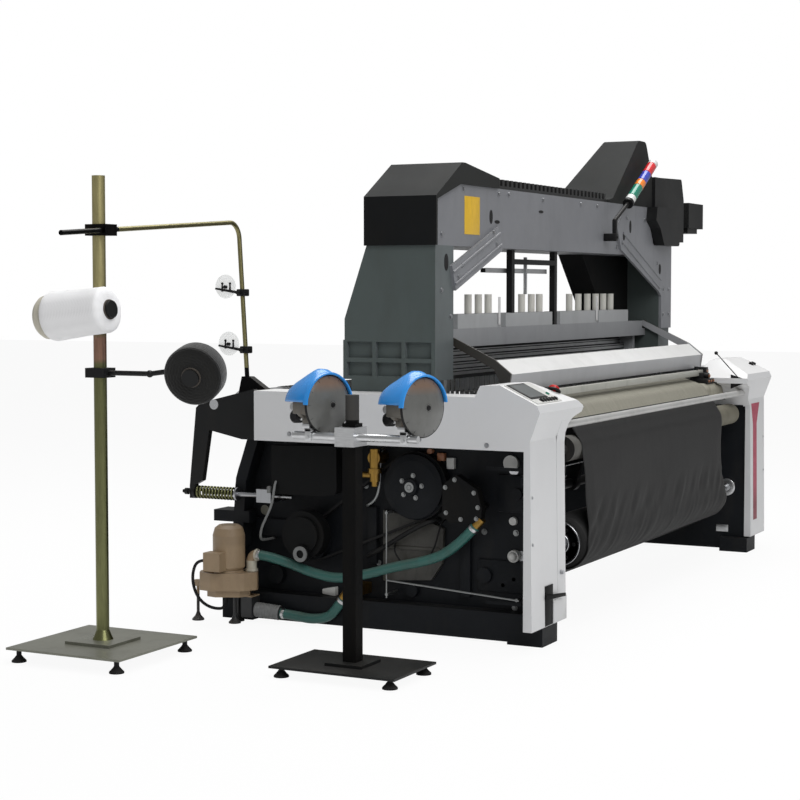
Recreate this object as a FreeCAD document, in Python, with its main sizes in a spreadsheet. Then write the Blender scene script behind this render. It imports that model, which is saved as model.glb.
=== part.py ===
"""Water-jet power loom with an overhead harness gantry, yarn package stand and weft feeder stand.

X runs along the loom's width, -Y is the cloth side, +Y the warp side and +Z is up.
The origin is on the floor, in the middle of the four anchor holes of the loom's feet.
"""
import FreeCAD, Part
import math
import os
import re

import Sketcher
from FreeCAD import Placement, Rotation, Vector

doc = FreeCAD.newDocument("PowerLoom")
sheet = doc.addObject("Spreadsheet::Sheet", "Size")
NODES = []

# Every driving dimension: a plain number in the sheet, under its alias
VALUES = {
    # Fits
    "seat_gap": 0.3,            # between curved faces that only lie against each other
    "shaft_play": 0.05,         # radial clearance of a journal in its bore

    # Side frames, feet and rails
    "cover_reach": 130,          # a side frame's outer face inside the covers' outer face
    "frame_wide": 105,
    "foot_wide": 145,
    "web_wall": 35,
    "flange_wall": 45,
    "foot_reach": 686,
    "foot_length": 140,
    "foot_height": 70,
    "sill_gap": 10,              # lower edge of the frame above the floor, between its feet
    "base_top": 230,
    "frame_top": 885,
    "frame_front": 680,
    "frame_rear": 640,
    "anchor_inset": 60,         # anchor hole from the foot's end
    "anchor_radius": 11,
    "rail_low": 90,
    "front_rail_low": 140,
    "front_rail_height": 100,
    "rail_height": 100,
    "rail_depth": 100,
    "front_rail_y": -440,
    "rear_rail_y": 45,
    "upper_rail_z": 560,

    # Covers of the loom's ends
    "end_room": 610,             # from the cloth's edge to the outer face of the covers
    "cover_wall": 6,
    "cover_rim": 25,
    "band_low": 725,            # lower edge of the cover's side band
    "band_top": 915,
    "band_rear": 456,
    "band_reach": 160,          # how far the cover's top reaches inwards
    "leg_width": 250,
    "leg_low": 77,
    "leg_front": 698,
    "leg_back": 664,
    "knee_y": 688,
    "knee_z": 762,
    "lip_y": 726,
    "lip_z": 864,
    "lip_low": 846,
    "lip_reach": 427,           # lip's tip from the cover's outer face
    "hump_top": 960,
    "hump_rear": 493,
    "hump_front": 570,
    "hump_step": 473,
    "hump_reach": 273,
    "slope_y": 714,             # lower edge of the sloping control panel
    "slope_z": 891,
    "display_wall": 4,

    # Gantry: columns, beam and hoods
    "column_inset": 165,         # a column's outer face inside the covers' outer face
    "column_wide": 160,
    "gantry_front": 235,
    "column_rear": 150,
    "beam_rear": 55,
    "column_base": 960,
    "column_foot": 1110,
    "column_knee": 1190,
    "beam_bottom": 1468,
    "beam_top": 1705,
    "shoulder_drop": 65,
    "shoulder_in": 210,
    "rib_depth": 18,
    "rib_width": 16,
    "brace_wall": 12,
    "hood_wall": 12,
    "hood_ridge": 1787,
    "ridge_in": 217,
    "toe_in": 570,
    "hood_toe": 1745,
    "lever_pitch": 45,
    "lever_width": 22,
    "lever_row": 28,
    "lever_start": -770,
    "lever_z": 40,

    # Harness: panel, boxes and heald frames
    "panel_y": -170,
    "panel_wall": 20,
    "panel_low": 1076,
    "panel_top": 1148,
    "panel_inset": 60,           # harness panel's end inside the columns
    "shelf_depth": 95,
    "box_top": 1205,
    "peg_radius": 15,
    "peg_top": 1283,
    "bracket_top": 1110,
    "heald_front": -140,
    "heald_pitch": 20,
    "heald_wall": 12,
    "heald_over": 155,           # the heald frames reach this far past the cloth
    "heald_height": 265,
    "heald_rail": 30,
    "heald_side": 40,
    "heald_top": 985,           # top of the front frame
    "heald_step": 25,           # each frame stands this much above the one before it
    "wire_pitch": 50,
    "wire_wall": 3,
    "wire_count": 36,

    # Sley, reed and warp
    "rocker_y": -250,
    "rocker_z": 450,
    "sword_over": 155,
    "sword_width": 40,
    "sley_low": 800,
    "sley_top": 850,
    "sley_front": -372,
    "sley_back": -318,
    "reed_y": -345,
    "reed_wall": 8,
    "reed_over": 35,
    "reed_top": 975,
    "reed_rail": 22,
    "fell_y": -410,             # the line where the cloth begins
    "cloth_half": 925,
    "cloth_wall": 2,
    "slot_width": 12,

    # Warp beam, rollers and cloth roll
    "journal_radius": 20,
    "journal_inset": 72,
    "beam_y": 530,
    "beam_z": 430,
    "beam_flange": 370,
    "beam_flange_wall": 18,
    "beam_core": 90,
    "beam_over": 25,
    "winding_radius": 250,
    "easing_y": 700,
    "easing_z": 850,
    "easing_radius": 45,
    "pivot_y": 460,
    "pivot_z": 852,
    "lever_out": 7,              # tension lever beside the frame's outer face
    "lever_wall": 26,
    "lever_elbow_y": 790,
    "takeup_y": -600,
    "takeup_z": 690,
    "takeup_radius": 50,
    "roller_inset": 75,          # roller's end inside the side frames
    "takeup_left": 1000,
    "press_y": -540,
    "press_z": 636.5,
    "press_radius": 30,
    "roll_y": -570,
    "roll_z": 318,
    "roll_radius": 105,
    "roll_flange": 88,
    "flange_over": 20,
    "breast_y": -536,           # centre of the rounding that the cloth runs over
    "breast_z": 816,
    "breast_round": 34,
    "breast_back": -420,
    "breast_low": 760,
    "guard_y": -668,
    "guard_z": 797,
    "guard_radius": 14,

    # Splash cover over the reed
    "splash_gap": 10,            # splash cover's arms beside the columns
    "splash_wall": 3,
    "splash_pivot_y": -165,
    "splash_pivot_z": 1141,
    "splash_pin": 10,
    "arm_wall": 12,
    "arm_half": 15,

    # Drive and pumps at the left end
    "pulley_y": -153,
    "pulley_z": 562,
    "pulley_radius": 122,
    "motor_y": 288,
    "motor_z": 314,
    "motor_pulley_radius": 60,
    "motor_radius": 105,
    "motor_length": 300,
    "belt_wall": 9,
    "belt_width": 34,
    "belt_inset": 33,
    "pump_out": 91,              # pump's middle outside the frame's outer face
    "pump_y": 597,
    "pan_low": 108,             # underside of the drain pump's casting above the floor
    "pan_top": 203,
    "pump_radius": 63,
    "pump_top": 387,
    "jet_y": 3,
    "jet_z": 619,
    "hose_radius": 19,
    "cable_radius": 6,
    "spring_out": 28,
    "spring_z": 500,
    "spring_start": 600,
    "spring_end": 784,
    "spring_radius": 26,
    "spring_wire": 4.5,
    "spring_turns": 12,

    # Feeder stand
    "feeder_x": -2130,
    "feeder_y": -293,
    "feeder_plate_x": 315,
    "feeder_plate_y": 475,
    "feeder_foot": 32,          # underside of the feeder stand's plate above the floor
    "plate_wall": 8,
    "stand_foot": 45,           # underside of the package stand's plate above the floor
    "feeder_post": 50,
    "crossbar_z": 811,
    "crossbar_radius": 13,
    "crossbar_rear": 205,
    "crossbar_front": 265,
    "sleeve_top": 950,
    "feeder_z": 914,
    "feeder_disc": 101,
    "feeder_turn": -18,

    # Package stand
    "package_x": -2250,
    "package_y": 650,
    "package_plate": 480,
    "post_radius": 23,
    "post_top": 1700,
    "tube_radius": 9,
    "tube_z": 1510,
    "tube_inset": 45,            # guide tube's foot inside the frame's outer face
    "tube_foot_y": 590,
    "tube_foot_z": 900,
    "tube_bend": 60,
    "tube_corner_z": 1567,
    "tube_stub": 270,
    "disc_high": 1290,
    "disc_low": 1065,
    "tension_disc": 46,
    "white_z": 1215,
    "white_radius": 80,
    "white_end": 87,
    "white_length": 285,
    "white_x": -2370,
    "black_z": 1010,
    "black_radius": 103,
    "black_end": 99,
    "black_length": 90,
    "spindle_radius": 12,

    # Dobby, signal tower and controls
    "guard_low": 1125,
    "guard_front": 70,
    "case_front": 300,
    "case_top": 1866,
    "case_reach": 20,
    "case_low": 1545,
    "tower_radius": 24,
    "tower_length": 400,
    "tower_lean": 59.7,
    "tower_x": 620,
    "tower_y": -285,
    "tower_z": 1712,
    "guard_top": 2020,
    "stop_inset": 339,
    "stop_y": -640,
    "stop_z": 923,
    "stop_lean": 30.3,
    "stop_stem": 9,
    "stop_radius": 20,
}

# Places that follow the cloth's width and what carries them
DERIVED = {
    "half_span": "(cloth_half + end_room)",
    "frame_outer": "(half_span - cover_reach)",
    "frame_inner": "(frame_outer - frame_wide)",
    "foot_inner": "(frame_outer - foot_wide)",
    "column_outer": "(half_span - column_inset)",
    "column_inner": "(column_outer - column_wide)",
    "hood_ridge_x": "(column_outer - ridge_in)",
    "hood_toe_x": "(column_outer - toe_in)",
    "beam_shoulder": "(beam_top - shoulder_drop)",
    "case_out": "(half_span + case_reach)",
    "panel_half": "(column_inner - panel_inset)",
    "heald_half": "(cloth_half + heald_over)",
    "sword_x": "(cloth_half + sword_over)",
    "reed_half": "(cloth_half + reed_over)",
    "beam_half": "(cloth_half + beam_over)",
    "journal_end": "(frame_outer - journal_inset)",
    "lever_x": "(frame_outer + lever_out)",
    "roller_half": "(frame_inner - roller_inset)",
    "roll_flange_x": "(cloth_half + flange_over)",
    "splash_half": "(column_inner - splash_gap)",
    "belt_x": "(frame_outer - belt_inset)",
    "pump_x": "(-frame_outer - pump_out)",
    "spring_x": "(frame_outer + spring_out)",
    "tube_foot_x": "(tube_inset - frame_outer)",
    "stop_x": "(stop_inset - half_span)",
}

for row, (alias, value) in enumerate(VALUES.items(), 1):
    sheet.set(f"A{row}", alias)
    sheet.set(f"B{row}", str(value))
    sheet.setAlias(f"B{row}", alias)

doc.recompute()
S = sheet


def sized(text):
    """Puts the sheet's name before each alias in a formula, after the derived places are written out."""
    def named(match):
        word = match.group()
        if word in DERIVED:
            return sized(DERIVED[word])
        return "Size." + word if word in VALUES else word
    return re.sub(r"(?<![A-Za-z_.])[a-z][a-z_]*", named, str(text))


def value_of(text):
    """The value of a formula as a plain number."""
    probe = doc.addObject("App::FeaturePython", "Probe")
    probe.addProperty("App::PropertyFloat", "Value")
    probe.setExpression("Value", sized(text))
    probe.recompute()
    value = probe.Value
    doc.removeObject(probe.Name)
    return value


def bind(item, **formulas):
    for name, text in formulas.items():
        item.setExpression(name, sized(text))


def place(item, x="0", y="0", z="0"):
    for axis, text in zip("xyz", (x, y, z)):
        item.setExpression("Placement.Base." + axis, sized(text))


TURN = {"Z": Rotation(), "X": Rotation(Vector(0, 1, 0), 90), "Y": Rotation(Vector(1, 0, 0), -90)}
PLANES = {"XY": "XY_Plane", "XZ": "XZ_Plane", "YZ": "YZ_Plane"}


def plane_of(body, plane):
    return next(item for item in body.Origin.OriginFeatures if item.Role == PLANES[plane])


def sketch_on(body, plane, points):
    """A closed outline through the points, each point held by two driven distances."""
    sketch = body.newObject("Sketcher::SketchObject", "Outline")
    sketch.AttachmentSupport = (plane_of(body, plane), [""])
    sketch.MapMode = "FlatFace"
    probe = doc.addObject("App::FeaturePython", "Probe")
    probe.addProperty("App::PropertyFloat", "Value")
    numbers = []
    for pair in points:
        numbers.append([])
        for text in pair:
            probe.setExpression("Value", sized(text))
            probe.recompute()
            numbers[-1].append(probe.Value)
    doc.removeObject(probe.Name)
    corners = [Vector(u, v, 0) for u, v in numbers]
    count = len(corners)
    for index in range(count):
        sketch.addGeometry(Part.LineSegment(corners[index], corners[(index + 1) % count]), False)
    for index in range(count):
        sketch.addConstraint(Sketcher.Constraint("Coincident", index, 2, (index + 1) % count, 1))
    for index, (u, v) in enumerate(numbers):
        for kind, number, text in (("DistanceX", u, points[index][0]), ("DistanceY", v, points[index][1])):
            if number == 0:
                # A zero distance is a point on the axis
                axis = -2 if kind == "DistanceX" else -1
                sketch.addConstraint(Sketcher.Constraint("PointOnObject", index, 1, axis))
                continue
            held = sketch.addConstraint(Sketcher.Constraint(kind, -1, 1, index, 1, number))
            sketch.setExpression(f"Constraints[{held}]", sized(text))
    return sketch


def prism(name, plane, points, low, high, rounds=()):
    """A padded outline between two distances along the plane's axis, some of its corners rounded."""
    body = doc.addObject("PartDesign::Body", name)
    sketch = sketch_on(body, plane, points)
    start = f"-({high})" if plane == "XZ" else low
    sketch.setExpression("AttachmentOffset.Base.z", sized(start))
    pad = body.newObject("PartDesign::Pad", "Pad")
    pad.Profile = sketch
    bind(pad, Length=f"({high}) - ({low})")
    for corners, radius in rounds:
        doc.recompute()
        feature = body.Tip
        along = {"XY": "z", "XZ": "y", "YZ": "x"}[plane]
        seen = [axis for axis in "xyz" if axis != along]
        ends = [sketch.Geometry[corner].StartPoint for corner in corners]
        names = []
        for index, edge in enumerate(feature.Shape.Edges, 1):
            first, last = edge.Vertexes[0].Point, edge.Vertexes[-1].Point
            level = all(abs(getattr(first, axis) - getattr(last, axis)) < 1e-6 for axis in seen)
            near = any(abs(getattr(first, seen[0]) - end.x) + abs(getattr(first, seen[1]) - end.y) < 1e-4
                       for end in ends)
            if level and near:
                names.append(f"Edge{index}")
        fillet = body.newObject("PartDesign::Fillet", "Round")
        fillet.Base = (feature, names)
        bind(fillet, Radius=radius)
    return body


def turned(name, axis, points, x="0", y="0", z="0"):
    """A turned piece: (radius, distance along the axis) corners, spun about the axis."""
    body = doc.addObject("PartDesign::Body", name)
    sketch = sketch_on(body, "XZ", points)
    spun = body.newObject("PartDesign::Revolution", "Spun")
    spun.Profile = sketch
    spun.ReferenceAxis = (sketch, ["V_Axis"])
    spun.Angle = 360
    body.Placement = Placement(Vector(), TURN[axis])
    if (x, y, z) != ("0", "0", "0"):
        place(body, x, y, z)
    return body


def block(name, x, y, z):
    item = doc.addObject("Part::Box", name)
    for side, (low, high) in zip(("Length", "Width", "Height"), (x, y, z)):
        item.setExpression(side, sized(f"({high}) - ({low})"))
    place(item, x[0], y[0], z[0])
    return item


def rod(name, axis, centre, ends, radius):
    """A cylinder along an axis: its centre's two other coordinates and its two ends."""
    item = doc.addObject("Part::Cylinder", name)
    bind(item, Radius=radius, Height=f"({ends[1]}) - ({ends[0]})")
    item.Placement = Placement(Vector(), TURN[axis])
    spots = list(centre)
    spots.insert("XYZ".index(axis), ends[0])
    place(item, *spots)
    return item


def fused(name, *items):
    item = doc.addObject("Part::MultiFuse", name)
    item.Shapes = list(items)
    item.Refine = True
    return item


def cut(name, base, *tools):
    item = doc.addObject("Part::Cut", name)
    item.Base = base
    item.Tool = tools[0] if len(tools) == 1 else fused(name + "_tools", *tools)
    return item


def common(name, *items):
    item = doc.addObject("Part::MultiCommon", name)
    item.Shapes = list(items)
    return item


def group(name, *items):
    item = doc.addObject("Part::Compound", name)
    item.Links = list(items)
    return item


def mirrored(name, source):
    item = doc.addObject("Part::Mirroring", name)
    item.Source = source
    item.Normal = Vector(1, 0, 0)
    return item


def shaped(name, shape, where=None):
    item = doc.addObject("Part::Feature", name)
    item.Shape = shape
    if where is not None:
        item.Placement = where
    return item


def keep(label, item):
    item.Label = label
    NODES.append(item)
    return item


def tube_path(points):
    """Straight runs joined by tangent arcs, each as large as its two runs allow."""
    points = [Vector(*point) for point in points]
    edges = []
    radii = []
    start = points[0]
    for before, corner, after in zip(points, points[1:], points[2:]):
        into = (corner - before).normalize()
        out = (after - corner).normalize()
        turn = into.getAngle(out)
        run = min((corner - before).Length, (after - corner).Length)
        reach = 0.45 * run
        radii.append(reach / math.tan(turn / 2))
        first = corner - into * reach
        last = corner + out * reach
        bow = (out - into).normalize()
        radius = radii[-1]
        centre = corner + bow * (radius / math.cos(turn / 2))
        middle = centre - bow * radius
        edges.append(Part.makeLine(start, first))
        edges.append(Part.Arc(first, middle, last).toShape())
        start = last
    edges.append(Part.makeLine(start, points[-1]))
    return Part.Wire(edges), radii


def tube(label, points, radius):
    """A solid tube along a path; its volume is compared with its section times its length."""
    path, radii = tube_path(points)
    towards = (Vector(*points[1]) - Vector(*points[0])).normalize()
    ring = Part.Wire([Part.Circle(Vector(*points[0]), towards, radius).toShape()])
    solid = path.makePipeShell([ring], True, False)
    ideal = math.pi * radius ** 2 * path.Length
    print(f"{label}: length {path.Length:.0f}, volume ratio {solid.Volume / ideal:.4f},",
          "radii", " ".join(f"{value:.0f}" for value in radii))
    return solid


def outline_round(circles, reach, closed_by=None):
    """The two sides of a sheet that runs past round pieces, as (left, right) lists of edges.

    Each circle is (y, z, radius, side): side is 1 where its centre lies on the left of the run, -1
    where it lies on the right. The left side of the sheet is offset by reach[0], the right by reach[1].
    """
    sides = []
    for is_right in (0, 1):
        spots = []
        for index in range(len(circles) - 1):
            (y1, z1, r1, s1), (y2, z2, r2, s2) = circles[index], circles[index + 1]
            r1 = r1 + reach[is_right if s1 == 1 else 1 - is_right]
            r2 = r2 + reach[is_right if s2 == 1 else 1 - is_right]
            along = Vector(y2 - y1, z2 - z1, 0)
            ratio = (s2 * r2 - s1 * r1) / along.Length
            bearing = math.atan2(along.y, along.x) + math.acos(ratio)
            normal = Vector(math.cos(bearing), math.sin(bearing), 0)
            first = Vector(y1, z1, 0) - normal * (s1 * r1)
            last = Vector(y2, z2, 0) - normal * (s2 * r2)
            spots.append((first, last))
        edges = []
        for index, (first, last) in enumerate(spots):
            if index:
                before = spots[index - 1][1]
                y, z, radius, side = circles[index]
                radius += reach[is_right if side == 1 else 1 - is_right]
                centre = Vector(y, z, 0)
                from_angle = math.atan2(*reversed((before - centre)[:2]))
                swept = side * (math.atan2(*reversed((first - centre)[:2])) - from_angle) % (2 * math.pi)
                halfway = from_angle + side * swept / 2
                mean = centre + Vector(math.cos(halfway), math.sin(halfway), 0) * radius
                edges.append(("arc", before, mean, first))
            edges.append(("line", first, last))
        sides.append(edges)
    return sides


def in_yz(point, x):
    return Vector(x, point.x, point.y)


def edges_at(items, x):
    made = []
    for item in items:
        points = [in_yz(point, x) for point in item[1:]]
        made.append(Part.Arc(*points).toShape() if item[0] == "arc" else Part.makeLine(*points))
    return made


def sheet_along(circles, gap, wall, low, high):
    """A sheet of even thickness that runs past the circles, between two distances along X."""
    left, right = outline_round(circles, (gap, gap + wall))
    ends = [(left[0][1], right[0][1]), (left[-1][-1], right[-1][-1])]
    edges = edges_at(left, low) + edges_at(right, low)
    edges += [Part.makeLine(in_yz(a, low), in_yz(b, low)) for a, b in ends]
    face = Part.Face(Part.Wire(Part.__sortEdges__(edges)))
    return face.extrude(Vector(high - low, 0, 0))


# ---------------------------------------------------------------- side frames, rails and beams

def side_frame():
    outline = prism("FrameOutline", "YZ", [
        ("-foot_reach", "0"), ("foot_length - foot_reach", "0"),
        ("foot_length - foot_reach", "sill_gap"), ("foot_reach - foot_length", "sill_gap"),
        ("foot_reach - foot_length", "0"), ("foot_reach", "0"),
        ("foot_reach", "base_top"), ("frame_rear", "base_top + 70"),
        ("frame_rear - 20", "beam_z + 130"), ("pivot_y + 50", "frame_top"),
        ("80 - frame_front", "frame_top"), ("-frame_front", "frame_top - 80"),
        ("-frame_front", "base_top + 30"), ("-foot_reach", "base_top")],
        "-frame_outer", "-frame_inner")
    recess = prism("FrameRecess", "YZ", [
        ("flange_wall - foot_reach", "foot_height + flange_wall"),
        ("foot_reach - flange_wall", "foot_height + flange_wall"),
        ("foot_reach - flange_wall", "base_top"), ("frame_rear - flange_wall", "base_top + 60"),
        ("frame_rear - 66", "beam_z + 120"), ("pivot_y + 15", "frame_top - flange_wall"),
        ("100 - frame_front", "frame_top - flange_wall"),
        ("flange_wall - frame_front", "frame_top - 100"),
        ("flange_wall - frame_front", "base_top + 40"),
        ("flange_wall - foot_reach", "base_top")],
        "-frame_outer - 1", "-frame_inner - web_wall")
    bores = []
    for name, y, z in (("rocker", "rocker_y", "rocker_z"), ("beam", "beam_y", "beam_z"),
                       ("takeup", "takeup_y", "takeup_z"), ("press", "press_y", "press_z"),
                       ("roll", "roll_y", "roll_z"), ("pivot", "pivot_y", "pivot_z"),
                       ("main", "pulley_y", "pulley_z"), ("motor", "motor_y", "motor_z")):
        bores.append(rod(name + "_bore", "X", (y, z), ("-frame_outer - 1", "1 - frame_inner"),
                         "journal_radius + shaft_play"))
    feet = []
    holes = []
    for name, low, high, spot in (
            ("front", "-foot_reach", "foot_length - foot_reach", "anchor_inset - foot_reach"),
            ("rear", "foot_reach - foot_length", "foot_reach", "foot_reach - anchor_inset")):
        feet.append(block(name + "_foot", ("-frame_inner", "-foot_inner"), (low, high), ("0", "foot_height")))
        holes.append(rod(name + "_anchor", "Z", ("-(frame_inner + foot_inner) / 2", spot),
                         ("-1", "foot_height + 1"), "anchor_radius"))
    arms = []
    for name, y, z in (("front_arm", "-400", "790"), ("rear_arm", "260", "790"),
                       ("low_arm", "-676", "300"), ("high_arm", "-676", "600")):
        arms.append(block(name, ("cover_wall - half_span", "-frame_outer"), (y, f"{y} + 24"),
                          (z, f"{z} + 30")))
    solid = cut("FrameCasting", fused("FrameSolid", outline, *feet), recess, *bores, *holes)
    rear_block = block("RearBlock", ("-frame_outer", "-frame_inner"), ("560", "724"), ("385", "430"))
    return fused("SideFrame", solid, rear_block, *arms)


left_side = keep("left_side_frame", side_frame())
keep("right_side_frame", mirrored("RightFrame", left_side))

span = ("-frame_inner", "frame_inner")
keep("cross_rails", group(
    "Rails",
    block("FrontRail", span, ("front_rail_y", "front_rail_y + rail_depth"),
          ("front_rail_low", "front_rail_low + front_rail_height")),
    block("RearRail", span, ("rear_rail_y", "rear_rail_y + rail_depth"),
          ("rail_low", "rail_low + rail_height")),
    block("UpperRail", span, ("rear_rail_y", "rear_rail_y + rail_depth"),
          ("upper_rail_z", "upper_rail_z + rail_height"))))

beam_solid = keep("breast_beam", prism("BreastBeam", "YZ", [
    ("breast_y - breast_round", "breast_low"), ("breast_back", "breast_low"),
    ("breast_back", "breast_z + breast_round"), ("breast_y - breast_round", "breast_z + breast_round")],
    *span, [((0,), "breast_round / 2"), ((3,), "breast_round")]))

# ---------------------------------------------------------------- covers of the ends


def cover_front(name, wall, beyond):
    """The cover's front: its side view and its front view, cut into one."""
    side = prism(name + "Side", "YZ", [
        (f"{beyond} - 460", f"band_low + {wall}"), (f"{beyond} - 460", f"band_top - {wall}"),
        ("-hump_step", f"band_top - {wall}"), ("-hump_rear", f"hump_top - 4 - {wall}"),
        ("-hump_front", f"hump_top - {wall}"), (f"{wall} / 2 - slope_y", f"slope_z - {wall}"),
        (f"{wall} - lip_y", "lip_z"), (f"{wall} - knee_y", "knee_z"),
        (f"{wall} - leg_front", f"leg_low - {beyond}"), (f"{beyond} - leg_back", f"leg_low - {beyond}"),
        (f"{beyond} - leg_back", f"band_low + {wall}")],
        f"{wall} - half_span", f"lip_reach - half_span - {wall}")
    front = prism(name + "Front", "XZ", [
        (f"{wall} - half_span", f"leg_low - {beyond}"),
        (f"leg_width - half_span - {wall}", f"leg_low - {beyond}"),
        (f"leg_width - half_span - {wall}", f"lip_low - 124 + {wall} / 3"),
        (f"lip_reach - 74 - half_span - {wall} / 3", f"lip_low - 16 + {wall}"),
        (f"lip_reach - half_span - {wall}", f"lip_low + {wall}"),
        (f"lip_reach - half_span - {wall}", f"lip_low + 26 - {wall}"),
        (f"hump_reach - half_span - {wall} / 2", f"hump_top - {wall}"),
        (f"{wall} - half_span", f"hump_top - {wall}")],
        f"{wall} - lip_y - 1", f"{beyond} - 460", [((2, 3), "40")])
    return common(name, side, front)


def cover():
    outer_band = block("OuterBand", ("-half_span", "band_reach - half_span"), ("-leg_back", "band_rear"),
                       ("band_low", "band_top"))
    inner_band = block("InnerBand", ("cover_wall - half_span", "band_reach - half_span + 1"),
                       ("20 - leg_back", "band_rear + 1"), ("band_low + cover_wall", "band_top - cover_wall"))
    under = block("UnderCut", ("cover_rim - half_span", "lip_reach - half_span"),
                  ("10 - leg_back", "band_rear + 1"), ("band_low - 1", "band_low + cover_wall + 1"))
    outer = fused("CoverOuter", outer_band, cover_front("OuterFront", "0", "0"))
    passage = block("BeamPassage", span, ("breast_y - breast_round - 2", "breast_back + 2"),
                    ("breast_low - 2", "breast_z + breast_round + 2"))
    return outer, cut("CoverShell", outer, inner_band, cover_front("InnerFront", "cover_wall", "12"), under, passage)


cover_outer, cover_shell = cover()
stop_place = Placement(Vector(value_of("stop_x"), S.stop_y, S.stop_z), Rotation(Vector(0, 1, 0), S.stop_lean))
stop_bore = shaped("StopBore", Part.makeCylinder(S.stop_stem + S.shaft_play, 60, Vector(0, 0, -40)), stop_place)
keep("left_cover", cut("LeftCover", cover_shell, stop_bore))
keep("right_cover", mirrored("RightCover", cover_shell))
keep("guard_rail", cut("GuardRail",
                       rod("GuardRod", "X", ("guard_y", "guard_z"), ("-half_span + leg_width", "half_span - leg_width"),
                           "guard_radius"),
                       cover_outer, mirrored("OuterMirror", cover_outer)))


def on_slope(share, rise):
    """A point on the sloping control panel: its share of the way down, and its height off the slope."""
    keep_share = round(1 - share, 3)
    return (f"-(hump_front * {keep_share} + slope_y * {share}) - {rise} * 0.43",
            f"hump_top * {keep_share} + slope_z * {share} + {rise} * 0.9")


keep("display_panel", prism("DisplayPanel", "YZ", [
    on_slope(0.05, "0"), on_slope(0.95, "0"), on_slope(0.95, "display_wall"), on_slope(0.05, "display_wall")],
    "22 - half_span", "hump_reach - half_span - 20"))
stop_head = turned("StopHead", "Z", [
    ("0", "-30"), ("stop_stem", "-30"), ("stop_stem", "8"), ("stop_radius", "8"), ("stop_radius", "16"),
    ("stop_radius - 6", "22"), ("0", "22")])
stop_head.Placement = stop_place
keep("emergency_stop", stop_head)

# ---------------------------------------------------------------- gantry


def column():
    shaft = prism("ColumnShaft", "YZ", [
        ("-gantry_front", "column_foot"), ("column_rear", "column_foot"), ("column_rear", "column_knee"),
        ("beam_rear", "beam_bottom"), ("-gantry_front", "beam_bottom")],
        "-column_outer", "-column_inner")
    base = block("ColumnBase", ("-column_outer", "-column_inner"), ("-gantry_front", "column_rear + 6"),
                 ("column_base", "column_foot"))
    stand = block("ColumnStand", ("-column_outer", "-frame_inner"), ("-200", "120"), ("frame_top", "column_base"))
    bays = []
    for row, (low, high) in enumerate((("column_base + 14", "column_base + 66"),
                                       ("column_base + 66 + rib_width", "column_foot - 6"))):
        for bay in range(3):
            start = f"rib_width - gantry_front + {bay} * (gantry_front + column_rear + 6 - rib_width) / 3"
            bays.append(block(f"Bay{row}{bay}", ("-column_outer - 1", "rib_depth - column_outer"),
                              (start, f"{start} + (gantry_front + column_rear + 6 - rib_width) / 3 - rib_width"),
                              (low, high)))
    pin = rod("PinBore", "X", ("splash_pivot_y", "splash_pivot_z"), ("-column_inner - 30", "1 - column_inner"),
              "splash_pin + shaft_play")
    return cut("Column", fused("ColumnSolid", shaft, base, stand), *bays, pin)


left_col = keep("left_column", column())
keep("right_column", mirrored("RightColumn", left_col))


def beam():
    bar = prism("BeamBar", "XZ", [
        ("-column_outer", "beam_bottom"), ("column_outer", "beam_bottom"),
        ("column_outer", "beam_shoulder"), ("column_outer - shoulder_in", "beam_top"),
        ("shoulder_in - column_outer", "beam_top"), ("-column_outer", "beam_shoulder")],
        "-gantry_front", "beam_rear")
    strip = block("LeverStrip", ("lever_start - 20", "lever_start + lever_row * lever_pitch"),
                  ("10 - gantry_front", "46 - gantry_front"), ("beam_top", "beam_top + 14"))
    levers = [block(f"Lever{index}", (f"lever_start + {index} * lever_pitch",
                                      f"lever_start + {index} * lever_pitch + lever_width"),
                    ("10 - gantry_front", "46 - gantry_front"), ("beam_top", "beam_top + lever_z"))
              for index in range(int(S.lever_row))]
    return fused("Beam", bar, strip, *levers)


keep("overhead_beam", beam())
brace = prism("Brace", "XZ", [
    ("-column_inner - 3", "1298"), ("437 - column_inner", "1458"), ("403 - column_inner", "1552"),
    ("-column_inner - 37", "1392")],
              "-gantry_front - brace_wall", "-gantry_front")
gusset = prism("Gusset", "XZ", [
    ("column_inner - 585", "1490"), ("column_inner - 26", "1291"), ("column_inner + 5", "1270"), ("column_inner + 5", "column_foot"),
    ("column_outer", "column_foot"), ("column_outer", "1525"), ("column_inner - 125", "1525"),
    ("column_inner - 218", "1700"), ("column_inner - 512", "1700"), ("column_inner - 645", "1600")],
    "-gantry_front - brace_wall", "-gantry_front")
keep("column_braces", group("Braces", brace, gusset))
keep("left_hood", prism("LeftHood", "XZ", [
    ("-column_outer - hood_wall", "beam_bottom"), ("-column_outer", "beam_bottom"),
    ("-column_outer", "beam_shoulder"), ("shoulder_in - column_outer", "beam_top"),
    ("-hood_toe_x", "beam_top"), ("-hood_toe_x", "hood_toe"), ("30 - hood_ridge_x", "hood_ridge"),
    ("-hood_ridge_x", "hood_ridge"), ("-column_outer - hood_wall", "beam_shoulder + 12")],
    "-gantry_front - 10", "beam_rear + 5"))
upper_guard = common(
    "UpperGuard",
    prism("GuardFront", "XZ", [
        ("column_outer - 870", "beam_top"), ("column_outer - 270", "beam_top"),
        ("column_outer - 276", "guard_top - 164"), ("column_outer - 370", "guard_top"),
        ("column_outer - 480", "guard_top"), ("column_outer - 830", "beam_top + 25"),
        ("column_outer - 870", "beam_top + 15")],
        "-gantry_front", "beam_rear", [((3, 4), "40")]),
    prism("GuardSide", "YZ", [
        ("-gantry_front", "beam_top"), ("beam_rear", "beam_top"), ("beam_rear", "beam_top + 15"),
        ("beam_rear - 115", "guard_top"), ("-gantry_front", "guard_top")],
        "column_outer - 871", "column_outer - 269"))
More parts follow.
